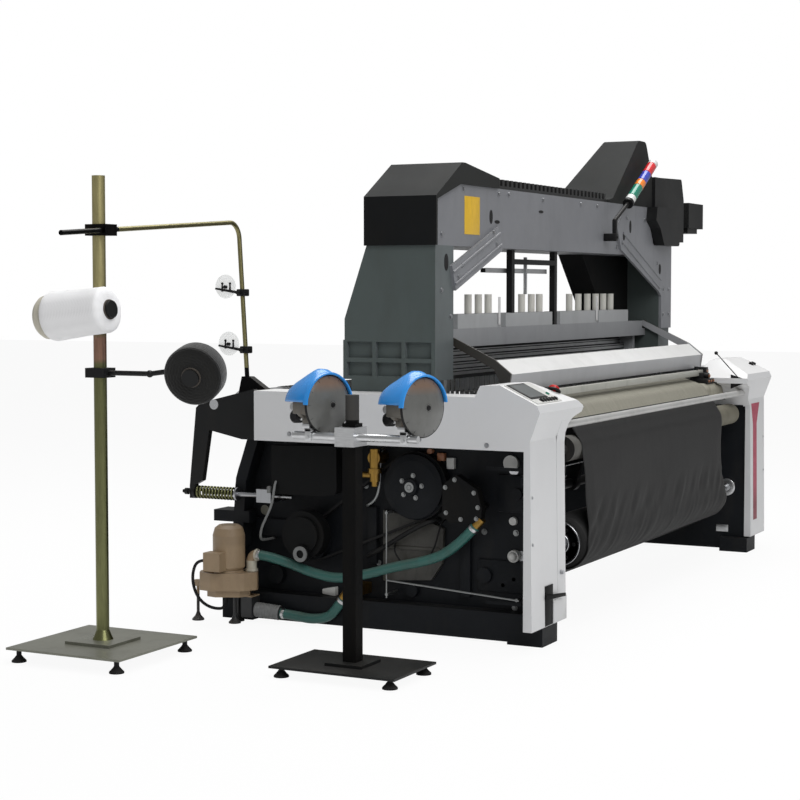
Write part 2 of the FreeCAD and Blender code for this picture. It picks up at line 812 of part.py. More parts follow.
lower_guard = prism("LowerGuard", "XZ", [
    ("column_inner - 640", "beam_bottom"), ("column_inner - 370", "guard_low + 75"),
    ("column_inner - 310", "guard_low"), ("column_inner", "guard_low"),
    ("column_inner", "beam_bottom")],
    "-guard_front", "50")
keep("dobby_guards", group("DobbyGuards", upper_guard, lower_guard))
case_side = prism("CaseSide", "XZ", [
    ("column_outer - 205", "beam_top"), ("column_outer", "beam_top"), ("column_outer", "case_low"),
    ("case_out", "case_low"), ("case_out", "case_top - 106"), ("case_out - 40", "case_top"),
    ("column_outer - 205", "case_top - 10")], "-250", "100", [((5,), "18")])
case_nose = block("CaseNose", ("column_outer - 270", "column_outer - 205"), ("-250", "-190"), ("beam_top", "case_top - 10"))
case_box = prism("CaseBox", "XZ", [
    ("column_outer - 378", "beam_top"), ("column_outer - 30", "beam_top"), ("column_outer - 30", "1520"),
    ("column_outer - 270", "1520"), ("column_outer - 330", "1600"), ("column_outer - 395", "1640")], "-case_front", "-gantry_front - brace_wall", [((1, 2), "20")])
keep("dobby_case", group("DobbyCase", fused("CaseBody", case_side, case_nose), case_box))
keep("dobby_motor", fused(
    "DobbyMotor",
    block("MotorBody", ("case_out + 70", "case_out + 315"), ("-255", "-145"), ("1622", "1752")),
    block("MotorFoot", ("case_out + 85", "case_out + 245"), ("-245", "-155"), ("1596", "1622")),
    rod("MotorNeck", "X", ("-200", "1650"), ("case_out", "case_out + 70"), "26")))

# ---------------------------------------------------------------- harness


def harness_posts():
    first = block("FirstPost", ("-485", "-455"), ("-165", "-140"), ("box_top", "beam_bottom"))
    second = block("SecondPost", ("-8", "22"), ("-165", "-140"), ("panel_top", "beam_bottom"))
    bar = block("PostBar", ("-485", "22"), ("-165", "-140"), ("1408", "1430"))
    rail = block("ThreadRail", ("-700", "-40"), ("-140", "-118"), ("1372", "1390"))
    return fused("HarnessPosts", first, second, bar, rail)


keep("harness_posts", harness_posts())


def heald_guides():
    whole = ("-panel_half", "panel_half")
    parts = [block("Panel", whole, ("panel_y", "panel_y + panel_wall"), ("panel_low", "panel_top")),
             block("Shelf", whole, ("panel_y", "panel_y + shelf_depth"), ("panel_top - 8", "panel_top"))]
    for index, (low, high) in enumerate((("-1027", "-607"), ("-554", "-40"), ("52", "519"), ("540", "948"))):
        parts.append(block(f"WireBox{index}", (low, high), ("panel_y + 2", "panel_y + 80"),
                           ("panel_top", "box_top")))
    for index, x in enumerate((-848, -748, -650, -421, -298, -190, -100, 258, 372, 490, 600, 700, 800)):
        parts.append(rod(f"Peg{index}", "Z", (f"{x}", "panel_y + 40"), ("box_top", "peg_top"), "peg_radius"))
    for name, sign in (("Left", "-"), ("Right", "")):
        ends = ("-column_inner", "-panel_half") if sign else ("panel_half", "column_inner")
        parts.append(block(name + "Bracket", ends, ("panel_y + 5", "panel_y + panel_wall"),
                           ("panel_low", "bracket_top")))
        near = "heald_half + seat_gap"
        rail = (f"-({near}) - 28", f"-({near})") if sign else (near, f"{near} + 28")
        parts.append(block(name + "Rail", rail, ("heald_front - 6", "panel_y + shelf_depth"),
                           ("heald_top - heald_height - 20", "panel_top - 8")))
    return fused("HealdGuides", *parts)


keep("heald_guides", heald_guides())


def comb(name, half, y, wall, low, high, rail, side):
    """A flat frame whose opening is divided by flat wires: a plate with a row of slots."""
    plate = block(name + "Plate", (f"-{half}", half), (y, f"{y} + {wall}"), (low, high))
    count = int(S.wire_count)
    slots = []
    for index in range(count + 1):
        left = f"(2 * {index} - wire_count - 1) * wire_pitch / 2 + wire_wall / 2"
        right = f"(2 * {index} - wire_count + 1) * wire_pitch / 2 - wire_wall / 2"
        if index == 0:
            left = f"{side} - {half}"
        if index == count:
            right = f"{half} - {side}"
        slots.append(block(f"{name}Slot{index}", (left, right), (f"{y} - 1", f"{y} + {wall} + 1"),
                           (f"{low} + {rail}", f"{high} - {rail}")))
    return cut(name, plate, *slots)


for number in range(4):
    top = f"heald_top + {number} * heald_step"
    keep(f"heald_frame_{number + 1}", comb(
        f"Heald{number + 1}", "heald_half", f"(heald_front + {number} * heald_pitch)", "heald_wall",
        f"{top} - heald_height", top, "heald_rail", "heald_side"))
keep("reed", comb("Reed", "reed_half", "reed_y", "reed_wall", "sley_top", "reed_top", "reed_rail", "20"))


def sley():
    beam_bar = block("SleyBeam", ("-sword_x - 100", "sword_x + 100"), ("sley_front", "sley_back"),
                     ("sley_low", "sley_top"))
    shaft = rod("RockerShaft", "X", ("rocker_y", "rocker_z"), ("-journal_end", "journal_end"),
                "journal_radius")
    parts = [beam_bar, shaft]
    for index, x in enumerate(("-sword_x", "0", "sword_x")):
        ends = (f"{x} - sword_width / 2", f"{x} + sword_width / 2")
        parts.append(prism(f"Sword{index}", "YZ", [
            ("rocker_y - 26", "rocker_z"), ("rocker_y + 26", "rocker_z"), ("sley_back", "sley_low"),
            ("sley_front", "sley_low")], *ends))
        parts.append(rod(f"SwordHub{index}", "X", ("rocker_y", "rocker_z"), ends, "journal_radius + 14"))
    return fused("Sley", *parts)


keep("sley", sley())

# ---------------------------------------------------------------- warp, rollers and cloth


def roller(name, y, z, radius, left):
    return turned(name, "X", [
        ("0", "-journal_end"), ("journal_radius", "-journal_end"), ("journal_radius", f"-{left}"),
        (radius, f"-{left}"), (radius, "roller_half"), ("journal_radius", "roller_half"),
        ("journal_radius", "journal_end"), ("0", "journal_end")], "0", y, z)


keep("takeup_roller", roller("TakeupRoller", "takeup_y", "takeup_z", "takeup_radius", "takeup_left"))
keep("press_roller", roller("PressRoller", "press_y", "press_z", "press_radius", "roller_half"))
keep("cloth_roll", turned("ClothRoll", "X", [
    ("0", "-journal_end"), ("journal_radius", "-journal_end"), ("journal_radius", "-roll_flange_x - 14"),
    ("roll_flange", "-roll_flange_x - 14"), ("roll_flange", "-roll_flange_x"), ("roll_radius / 2", "-roll_flange_x"),
    ("roll_radius / 2", "-cloth_half"), ("roll_radius", "-cloth_half"), ("roll_radius", "cloth_half"),
    ("roll_radius / 2", "cloth_half"), ("roll_radius / 2", "roll_flange_x"), ("roll_flange", "roll_flange_x"),
    ("roll_flange", "roll_flange_x + 14"), ("journal_radius", "roll_flange_x + 14"),
    ("journal_radius", "journal_end"), ("0", "journal_end")], "0", "roll_y", "roll_z"))
keep("warp_beam", turned("WarpBeam", "X", [
    ("0", "-journal_end"), ("journal_radius", "-journal_end"), ("journal_radius", "-beam_half - beam_flange_wall"),
    ("beam_flange", "-beam_half - beam_flange_wall"), ("beam_flange", "-beam_half"), ("beam_core", "-beam_half"),
    ("beam_core", "beam_half"), ("beam_flange", "beam_half"), ("beam_flange", "beam_half + beam_flange_wall"),
    ("journal_radius", "beam_half + beam_flange_wall"), ("journal_radius", "journal_end"), ("0", "journal_end")],
    "0", "beam_y", "beam_z"))
keep("warp_winding", turned("WarpWinding", "X", [
    ("beam_core + 0.05", "-cloth_half"), ("winding_radius", "-cloth_half"), ("winding_radius", "cloth_half"),
    ("beam_core + 0.05", "cloth_half")], "0", "beam_y", "beam_z"))


def warp():
    circles = [(S.fell_y, S.easing_z + S.easing_radius, 0, -1), (S.easing_y, S.easing_z, S.easing_radius, -1),
               (S.beam_y, S.beam_z, S.winding_radius, -1)]
    sheet_solid = sheet_along(circles, S.seat_gap, S.cloth_wall, -S.cloth_half, S.cloth_half)
    count = int(S.wire_count)
    low = S.reed_y - 60
    high = S.heald_front + 4 * S.heald_pitch + 12
    slots = []
    for index in range(count):
        x = (2 * index - count + 1) * S.wire_pitch / 2
        slots.append(Part.makeBox(S.slot_width, high - low, 40, Vector(x - S.slot_width / 2, low, S.easing_z + 30)))
    return shaped("Warp", sheet_solid.cut(slots))


keep("warp", warp())


def cloth():
    circles = [(S.fell_y, S.easing_z + S.easing_radius, 0, 1), (S.breast_y, S.breast_z, S.breast_round, 1),
               (S.takeup_y, S.takeup_z, S.takeup_radius, 1), (S.roll_y, S.roll_z, S.roll_radius, 1)]
    return shaped("Cloth", sheet_along(circles, S.seat_gap, S.cloth_wall, -S.cloth_half, S.cloth_half))


keep("cloth", cloth())


def tension_lever():
    parts = [rod("TorsionBar", "X", ("pivot_y", "pivot_z"), ("-lever_x - lever_wall", "lever_x + lever_wall"),
                 "journal_radius")]
    parts.append(prism("RightArm", "YZ", [
        ("pivot_y - 34", "pivot_z - 30"), ("easing_y + 10", "easing_z - 44"),
        ("easing_y + 30", "easing_z + 30"), ("pivot_y - 34", "pivot_z + 34")], "lever_x", "lever_x + lever_wall",
        [((0, 3), "24")]))
    parts.append(prism("LeftArm", "YZ", [
        ("pivot_y - 26", "pivot_z - 40"), ("pivot_y + 20", "717"), ("572", "717"), ("723", "748"), ("756", "546"),
        ("spring_end + 6", "spring_z + 28"), ("spring_end + 6", "spring_z - 26"), ("spring_end + 32", "spring_z - 26"),
        ("spring_end + 32", "spring_z + 21"), ("784", "835"), ("762", "855"), ("520", "914"),
        ("pivot_y", "pivot_z + 50"), ("pivot_y - 26", "pivot_z + 30")], "-lever_x - lever_wall", "-lever_x"))
    parts.append(rod("SpringSeat", "Y", ("-spring_x", "spring_z"), ("spring_end", "spring_end + 10"),
                     "spring_radius"))
    parts.append(rod("RodEnd", "Y", ("-spring_x", "spring_z"), ("spring_end + 30", "849"), "7"))
    parts.append(rod("RodNut", "Y", ("-spring_x", "spring_z"), ("spring_end + 40", "spring_end + 54"), "13"))
    eyes = [rod(name + "Eye", "X", ("easing_y", "easing_z"), ends, "journal_radius + shaft_play")
            for name, ends in (("Left", ("-lever_x - lever_wall - 1", "1 - lever_x")),
                               ("Right", ("lever_x - 1", "lever_x + lever_wall + 1")))]
    return cut("TensionLever", fused("LeverSolid", *parts), *eyes)


keep("tension_lever", tension_lever())
keep("back_roller", turned("BackRoller", "X", [
    ("0", "-lever_x - lever_wall"), ("journal_radius", "-lever_x - lever_wall"), ("journal_radius", "-roller_half"),
    ("easing_radius", "-roller_half"), ("easing_radius", "roller_half"), ("journal_radius", "roller_half"),
    ("journal_radius", "lever_x + lever_wall"), ("0", "lever_x + lever_wall")], "0", "easing_y", "easing_z"))


def tension_spring():
    """An open coil between the rod's collar and the lever's foot, as one unbroken tube."""
    wire = S.spring_wire
    mean = S.spring_radius - wire
    length = S.spring_end - S.spring_start - 2 * wire
    turns = int(S.spring_turns)
    pitch = length / turns
    steps = 4 * turns
    points = []
    for index in range(2 * steps + 1):
        angle = math.pi / 4 * index
        points.append(Vector(mean * math.cos(angle), mean * math.sin(angle), pitch * index / 8))
    edges = [Part.Arc(points[2 * index], points[2 * index + 1], points[2 * index + 2]).toShape()
             for index in range(steps)]
    path = Part.Wire(edges)
    towards = edges[0].tangentAt(edges[0].FirstParameter)
    ring = Part.Wire([Part.Circle(points[0], towards, wire).toShape()])
    solid = path.makePipeShell([ring], True, False)
    print(f"tension_spring: least gap between turns {pitch - 2 * wire:.2f}, volume ratio",
          f"{solid.Volume / (math.pi * wire ** 2 * path.Length):.4f}")
    return shaped("TensionSpring", solid, Placement(
        Vector(value_of("-spring_x"), S.spring_start + wire, S.spring_z), TURN["Y"]))


keep("tension_spring", tension_spring())
keep("spring_rod", fused(
    "SpringRod",
    block("RodBracket", ("-spring_x - 16", "-frame_outer"), ("435", "spring_start - 100"),
          ("spring_z - 26", "spring_z + 26")),
    block("RodPad", ("-frame_outer", "-frame_inner - web_wall"), ("435", "spring_start - 130"),
          ("spring_z - 26", "spring_z + 26")),
    rod("PullRod", "Y", ("-spring_x", "spring_z"), ("spring_start - 100", "spring_start - 8"), "9"),
    rod("FrontRod", "Y", ("-spring_x", "spring_z"), ("347", "436"), "7"),
    rod("Collar", "Y", ("-spring_x", "spring_z"), ("spring_start - 8", "spring_start"), "spring_radius")))


def splash_cover():
    sheet_plate = prism("SplashSheet", "YZ", [
        ("-400", "1034"), ("-466", "982"), ("-458", "918"), ("splash_wall - 458", "918"),
        ("splash_wall - 466", "980"), ("-398", "1034 - splash_wall")],
        "arm_wall - splash_half", "splash_half - arm_wall")
    parts = [sheet_plate]
    for name, low, high, pin in (
            ("Left", "-splash_half", "arm_wall - splash_half", ("-column_inner - 20", "-splash_half")),
            ("Right", "splash_half - arm_wall", "splash_half", ("splash_half", "column_inner + 20"))):
        parts.append(prism(name + "Arm2", "YZ", [
            ("splash_pivot_y + arm_half", "splash_pivot_z - arm_half"),
            ("splash_pivot_y + arm_half", "splash_pivot_z + arm_half"),
            ("-400", "1038"), ("-470", "984"), ("-460", "918"), ("-440", "918"), ("-400", "1000")],
            low, high, [((0, 1), "12")]))
        parts.append(rod(name + "Pin", "X", ("splash_pivot_y", "splash_pivot_z"), pin, "splash_pin"))
    return fused("SplashCover", *parts)


keep("splash_cover", splash_cover())

# ---------------------------------------------------------------- drive and pumps

keep("main_pulley", turned("MainPulley", "X", [
    ("0", "-belt_x - 50"), ("30", "-belt_x - 50"), ("34", "-belt_x - 34"), ("pulley_radius - 24", "-belt_x - 26"),
    ("pulley_radius", "-belt_x - 20"), ("pulley_radius", "-belt_x - 8"), ("pulley_radius + 6", "-belt_x - 2"),
    ("pulley_radius", "-belt_x - 1"), ("pulley_radius", "belt_width - belt_x + 1"),
    ("journal_radius", "belt_width - belt_x + 1"), ("journal_radius", "5 - frame_inner"),
    ("0", "5 - frame_inner")], "0", "pulley_y", "pulley_z"))
keep("motor_pulley", turned("MotorPulley", "X", [
    ("0", "-belt_x - 10"), ("motor_pulley_radius", "-belt_x - 10"), ("motor_pulley_radius", "belt_width - belt_x + 1"),
    ("journal_radius", "belt_width - belt_x + 1"), ("journal_radius", "-frame_inner - 0.5"),
    ("0", "-frame_inner - 0.5")], "0", "motor_y", "motor_z"))


def drive_belts():
    """The belts round both pulleys, one closed band."""
    faces = []
    for extra in (S.seat_gap, S.seat_gap + S.belt_wall):
        first = (S.pulley_y, S.pulley_z, S.pulley_radius, 1)
        second = (S.motor_y, S.motor_z, S.motor_pulley_radius, 1)
        loop, other = outline_round([first, second, first, second], (extra, extra))
        edges = edges_at(loop[1:5], value_of("-belt_x"))
        faces.append(Part.Face(Part.Wire(Part.__sortEdges__(edges))))
    return shaped("DriveBelts", faces[1].cut(faces[0]).extrude(Vector(S.belt_width, 0, 0)))


keep("drive_belts", drive_belts())
motor_solid = fused(
    "MotorSolid",
    rod("MotorFlange", "X", ("motor_y", "motor_z"), ("-frame_inner", "16 - frame_inner"), "motor_radius + 14"),
    rod("MotorShell", "X", ("motor_y", "motor_z"), ("16 - frame_inner", "motor_length - frame_inner - 60"), "motor_radius"),
    rod("MotorFanHood", "X", ("motor_y", "motor_z"), ("motor_length - frame_inner - 60", "motor_length - frame_inner"),
        "motor_radius - 12"),
    block("MotorBox", ("60 - frame_inner", "170 - frame_inner"), ("motor_y - 50", "motor_y + 50"),
          ("motor_z + motor_radius - 12", "motor_z + motor_radius + 30")))

GUARD_FACE = "-frame_outer - 45"
WEB_FACE = "-frame_inner - web_wall"


def drive_covers():
    """The covers outside the left frame, each on studs that reach the frame's web beside the belts."""
    gear_box = prism("GearBox", "YZ", [("143", "525"), ("200", "512"), ("430", "512"), ("430", "700"), ("143", "707")],
                     GUARD_FACE, "-frame_outer", [((0, 1, 4), "16")])
    egg = prism("GearCover", "YZ", [
        ("-330", "440"), ("-300", "470"), ("-300", "580"), ("-354", "622"), ("-440", "570"), ("-460", "500"),
        ("-455", "448")], "-frame_outer - 38", "-frame_outer", [((0, 3, 4, 6), "14")])
    clutch = fused(
        "Clutch",
        rod("ClutchShell", "X", ("286", "360"), ("-frame_outer - 55", "2 - frame_outer"), "92"),
        rod("ClutchCap", "X", ("286", "360"), ("-frame_outer - 68", "-frame_outer - 55"), "70"),
        rod("ClutchGrip", "X", ("281", "290"), ("-frame_outer - 82", "-frame_outer - 55"), "34"))
    studs = [rod(f"GuardStud{index}", "X", spot, ("-frame_outer - 10", WEB_FACE), "12")
             for index, spot in enumerate((("400", "660"), ("200", "660"), ("400", "530"), ("-430", "500"),
                                           ("-354", "580"), ("360", "410"), ("380", "330")))]
    return fused("DriveCovers", gear_box, egg, clutch, *studs)


covers_out = drive_covers()
keep("main_motor", group("MainMotor", motor_solid, covers_out))


UPPER_HOSE = [(-1456, 494, 269), (-1456, 452, 269), (-1446, 345, 243), (-1443, 262, 216), (-1441, 150, 197),
              (-1440, 18, 224), (-1438, -101, 262), (-1434, -218, 288), (-1430, -300, 318), (-1428, -380, 380),
              (-1428, -428, 432)]
LOWER_HOSE = [(-1440, 397, 45), (-1432.95, 334.49, 39.36), (-1430, 262, 30), (-1430, 190, 44), (-1431, 158, 76),
              (-1432, 122, 123)]
PUMP_CABLE = [(-1575, 650, 252), (-1575, 692, 252), (-1572, 718, 200), (-1568, 716, 140), (-1560, 690, 88),
              (-1536, 650, 58), (-1500, 606, 56), (-1500, 606, 108)]
SLEEVE = [(-1455, 530, 57), LOWER_HOSE[0]]


def along_route(name, points, length, radius):
    """A round fitting that carries on from a hose's end, along its last run."""
    last = Vector(*points[-1])
    towards = (last - Vector(*points[-2])).normalize()
    return shaped(name, Part.makeCylinder(radius, length, last, towards))


def weft_pump():
    """The weft pump on the side frame's web, with the fittings that end the two water hoses."""
    back = "-frame_inner - web_wall"
    body = fused(
        "WeftPumpBody",
        rod("PumpBarrel", "X", ("jet_y", "jet_z + 46"), ("-frame_outer - 6", back), "26"),
        rod("PumpColumn", "Z", ("-frame_outer + 4", "jet_y"), ("jet_z - 44", "jet_z + 80"), "20"),
        rod("PumpCollar", "Z", ("-frame_outer + 4", "jet_y"), ("jet_z - 12", "jet_z + 6"), "27"),
        rod("PumpOutlet", "Y", ("-frame_outer + 4", "jet_z - 20"), ("jet_y", "jet_y + 62"), "12"),
        rod("PumpNut", "Z", ("-frame_outer + 4", "jet_y"), ("jet_z - 62", "jet_z - 44"), "13"))
    fitting = cut("JetFitting", along_route("JetNipple", UPPER_HOSE, 40, 17), covers_out)
    coupling = along_route("LowCoupling", LOWER_HOSE, 60, 21)
    socket = fused("HoseSocket", coupling, block("SocketBlock", (f"{GUARD_FACE} - 2", WEB_FACE), ("52", "94"),
                                                 ("138", "178")))
    return group("WeftPump", body, fitting, socket)


keep("weft_pump", weft_pump())


CASTING = ((113, -28), (113, 28), (62, 64), (-66, 64), (-113, 28), (-113, -28), (-66, -64), (62, -64))
ACROSS = (0.451, -0.893)         # unit vector along the pump casting's long side


def turned_outline(corners):
    """Corners given along and square to the casting's long side, as formulas round the pump's centre."""
    across_x, across_y = ACROSS
    return [(f"pump_x + {u * across_x - v * across_y:.2f}".replace("+ -", "- "),
             f"pump_y + {u * across_y + v * across_x:.2f}".replace("+ -", "- ")) for u, v in corners]


def drain_pump():
    """The drain pump's casting on its three legs, the outlet elbow and the inlet sleeve."""
    rim = [(u * (0.86 if u < 0 else 0.52), v * 0.80) for u, v in CASTING]
    pan = cut("Pan", prism("PanOuter", "XY", turned_outline(CASTING), "pan_low + 26", "pan_top",
                           [(range(8), "14")]),
              prism("PanInner", "XY", turned_outline(rim), "pan_top - 22", "pan_top + 1"))
    foot = turned("MotorSeat", "Z", [
        ("0", "pan_top - 24"), ("pump_radius + 2", "pan_top - 24"), ("pump_radius - 8", "pan_top + 8"),
        ("0", "pan_top + 8")], "pump_x", "pump_y", "0")
    bottom = prism("PanBottom", "XY", turned_outline([(u * 0.74, v * 0.78) for u, v in CASTING]), "pan_low",
                   "pan_low + 27")
    legs = []
    for index, (x, y) in enumerate(((-1, 144), (5, -22), (53, -9))):
        spot = (f"pump_x + {x}", f"pump_y + {y}")
        legs.append(turned(f"PumpLeg{index}", "Z", [
            ("0", "0"), ("24", "0"), ("24", "5"), ("12", "18"), ("6", "34"), ("6", "pan_low + 30"),
            ("0", "pan_low + 30")], *spot, "0"))
    ear = prism("PumpEar", "XY", [("pump_x - 16", "pump_y + 80"), ("pump_x + 12", "pump_y + 80"),
                                  ("pump_x + 12", "pump_y + 158"), ("pump_x - 14", "pump_y + 158")],
                "pan_low + 28", "pan_low + 52", [((2, 3), "12")])
    drop = block("InletDrop", ("pump_x + 8", "pump_x + 70"), ("pump_y - 97", "pump_y - 49"), ("26", "pan_low + 2"))
    start, end = Vector(*SLEEVE[0]), Vector(*SLEEVE[1])
    sleeve = shaped("InletSleeve", Part.makeCylinder(27, (end - start).Length, start, end - start))
    elbow_x, elbow_y = value_of("pump_x + 40"), value_of("pump_y - 79")
    mouth = Part.Face(Part.Wire([Part.Circle(Vector(elbow_x, elbow_y, 245), Vector(0, 0, 1), 20).toShape()]))
    bend = mouth.revolve(Vector(elbow_x, elbow_y - 24, 245), Vector(1, 0, 0), 90)
    lift = Part.makeCylinder(20, 52, Vector(elbow_x, elbow_y, 193))
    elbow = shaped("OutletElbow", lift.fuse(bend))
    whole = pan
    for index, piece in enumerate((foot, bottom, ear, drop, sleeve, elbow, *legs)):
        whole = fused(f"PumpJoin{index}", whole, piece)
    return whole


keep("drain_pump", drain_pump())
keep("pump_motor", fused(
    "PumpMotor",
    turned("PumpMotorShell", "Z", [
        ("0", "pan_top + 8"), ("pump_radius - 10", "pan_top + 8"), ("pump_radius", "pan_top + 20"),
        ("pump_radius", "pump_top - 40"), ("pump_radius - 8", "pump_top - 12"), ("pump_radius - 24", "pump_top"),
        ("0", "pump_top")], "pump_x", "pump_y", "0"),
    block("TerminalBox", ("pump_x - 104", "pump_x - 49"), ("pump_y - 22", "pump_y + 53"), ("214", "286"))))
keep("water_hoses", group("Hoses", shaped("UpperHose", tube("upper hose", UPPER_HOSE, VALUES["hose_radius"])),
                          shaped("LowerHose", tube("lower hose", LOWER_HOSE, VALUES["hose_radius"]))))
keep("pump_cable", shaped("PumpCable", tube("pump cable", PUMP_CABLE, VALUES["cable_radius"])))

# ---------------------------------------------------------------- feeder stand

plate_top = "feeder_foot + plate_wall"
package_top = "stand_foot + plate_wall"


def plate(name, x, y, wide, deep, low):
    return block(name, (f"{x} - {wide} / 2", f"{x} + {wide} / 2"), (f"{y} - {deep} / 2", f"{y} + {deep} / 2"),
                 (low, f"{low} + plate_wall"))


keep("feeder_base", fused(
    "FeederBase", plate("FeederPlate", "feeder_x", "feeder_y", "feeder_plate_x", "feeder_plate_y",
                         "feeder_foot"),
    block("FeederSocket", ("feeder_x - 70", "feeder_x + 70"), ("feeder_y - 70", "feeder_y + 70"),
          (plate_top, f"{plate_top} + 10"))))
post_box = ("feeder_x - feeder_post / 2", "feeder_x + feeder_post / 2")
post_deep = ("feeder_y - feeder_post / 2", "feeder_y + feeder_post / 2")
feeder_post = keep("feeder_post", fused(
    "FeederPost", block("PostBox", post_box, post_deep, (f"{plate_top} + 10", "crossbar_z + 44")),
    rod("PostSleeve", "Z", ("feeder_x", "feeder_y"), ("crossbar_z + 44", "sleeve_top"), "feeder_post / 2 - 2")))
bar_x = "(feeder_x - feeder_post / 2 - crossbar_radius)"
bar = rod("Bar", "Y", (bar_x, "crossbar_z"), ("feeder_y - crossbar_front", "feeder_y + crossbar_rear"),
          "crossbar_radius")
clamp = cut("Clamp", block("ClampBlock", (f"{bar_x} - crossbar_radius - 8", "feeder_x + feeder_post / 2 + 10"),
                           ("feeder_y - 36", "feeder_y + 36"), ("crossbar_z - 32", "crossbar_z + 32")),
            block("ClampBore", post_box, post_deep, ("crossbar_z - 33", "crossbar_z + 33")))
keep("feeder_crossbar", fused("Crossbar", bar, clamp))


def feeder(name, y):
    """A weft feeder: drum housing, guard disc at its mouth, saddle cover and the clip to the bar."""
    disc = turned(name + "Disc", "Y", [("0", "-26"), ("40", "-22"), ("80", "-10"), ("feeder_disc", "0"),
                                       ("feeder_disc", "6"), ("0", "6")])
    drum = turned(name + "Drum", "Y", [("0", "6"), ("62", "6"), ("62", "120"), ("50", "150"), ("0", "160")])
    saddle = common(
        name + "Saddle",
        prism(name + "Arch", "XZ", [("-50", "20"), ("50", "20"), ("46", "92"), ("26", "123"), ("-26", "123"),
                                    ("-46", "92")], "-12", "156", [((2, 3, 4, 5), "14")]),
        prism(name + "Hood", "YZ", [("-12", "20"), ("156", "20"), ("150", "78"), ("112", "123"), ("24", "123"),
                                    ("-12", "96")], "-51", "51", [((2, 3, 4), "16")]))
    knob = rod(name + "Knob", "Y", ("0", "-50"), ("150", "176"), "17")
    foot = block(name + "Foot", ("-16", "16"), ("40", "100"), ("-72", "-50"))
    head = fused(name, disc, drum, saddle, knob, foot)
    head.Placement = Placement(Vector(), Rotation(Vector(0, 0, 1), S.feeder_turn))
    place(head, "feeder_x + 15", y, "feeder_z")
    clip = cut(name + "Clip", fused(
        name + "ClipSolid",
        block(name + "ClipBlock", (f"{bar_x} - crossbar_radius - 5", f"{bar_x} + crossbar_radius + 5"),
              (f"{y} + 60", f"{y} + 90"), ("crossbar_z - 18", "crossbar_z + 24")),
        block(name + "ClipArm", (f"{bar_x} - crossbar_radius - 5", "feeder_x + 60"), (f"{y} + 60", f"{y} + 90"),
              ("crossbar_z + 24", "feeder_z - 62"))), bar)
    return fused(name + "Whole", head, clip)


keep("left_feeder", feeder("LeftFeeder", "feeder_y + 102"))
keep("right_feeder", feeder("RightFeeder", "feeder_y - 256"))

# ---------------------------------------------------------------- package stand

keep("package_base", fused(
    "PackageBase", plate("PackagePlate", "package_x", "package_y", "package_plate", "package_plate",
                          "stand_foot"),
    block("PackageSocket", ("package_x - 95", "package_x + 95"), ("package_y - 95", "package_y + 95"),
          (package_top, f"{package_top} + 10"))))
package_post = keep("package_post", fused(
    "PackagePost",
    rod("Post", "Z", ("package_x", "package_y"), (f"{package_top} + 10", "post_top"), "post_radius"),
    turned("PostCone", "Z", [("post_radius", "0"), ("post_radius + 14", "0"), ("post_radius", "34")],
           "package_x", "package_y", f"{package_top} + 10")))


def leveling_feet():
    feet = []
    for name, x, y, wide, deep, top in (
            ("Feeder", "feeder_x", "feeder_y", "feeder_plate_x", "feeder_plate_y", "feeder_foot"),
            ("Package", "package_x", "package_y", "package_plate", "package_plate", "stand_foot")):
        for right in (-1, 1):
            for rear in (-1, 1):
                feet.append(turned(f"{name}Foot{right + 1}{rear + 1}", "Z", [
                    ("0", "0"), ("26", "0"), ("26", "5"), ("17", "14"), ("9", "24"), ("9", top), ("0", top)],
                    f"{x} + {right} * ({wide} / 2 - 32)", f"{y} + {rear} * ({deep} / 2 - 32)", "0"))
    return group("LevelingFeet", *feet)


keep("leveling_feet", leveling_feet())


def guide_path():
    """The guide tube's axis: past the post, level to the bend and down to the loom."""
    post = Vector(S.package_x, S.package_y - S.post_radius - S.tube_radius - 4, S.tube_z)
    foot_x = value_of("tube_foot_x")
    corner = Vector(foot_x, S.tube_foot_y + 40, S.tube_corner_z)
    start = post + (post - corner).normalize() * S.tube_stub
    foot = Vector(foot_x, S.tube_foot_y, S.tube_foot_z)
    into = (corner - start).normalize()
    out = (foot - corner).normalize()
    turn = into.getAngle(out)
    reach = S.tube_bend * math.tan(turn / 2)
    bow = (out - into).normalize()
    centre = corner + bow * (S.tube_bend / math.cos(turn / 2))
    edges = [Part.makeLine(start, corner - into * reach),
             Part.Arc(corner - into * reach, centre - bow * S.tube_bend, corner + out * reach).toShape(),
             Part.makeLine(corner + out * reach, foot)]
    return start, corner, foot, Part.Wire(edges)


tube_start, tube_corner, tube_end, guide_line = guide_path()
guide_ring = Part.Wire([Part.Circle(tube_start, tube_corner - tube_start, S.tube_radius).toShape()])
guide_solid = guide_line.makePipeShell([guide_ring], True, False)
bare_tube = shaped("BareTube", guide_solid)
tube_box = cut("TubeBox", prism("TubeBracket", "YZ", [
    ("478", "frame_top"), ("622", "frame_top"), ("622", "frame_top + 14"), ("608", "frame_top + 75"),
    ("572", "frame_top + 75"), ("478", "frame_top + 14")], "tube_foot_x - 18", "tube_foot_x + 18"), bare_tube)
post_clamp = cut("PostClamp", block(
    "PostClampBlock", ("package_x - 34", "package_x + 34"),
    ("package_y - post_radius - 2 * tube_radius - 12", "package_y + post_radius + 12"),
    ("tube_z - 20", "tube_z + 20")),
    rod("PostClampBore", "Z", ("package_x", "package_y"), ("tube_z - 21", "tube_z + 21"), "post_radius"), bare_tube)
keep("guide_tube", fused("GuideTube", bare_tube, tube_box, post_clamp))


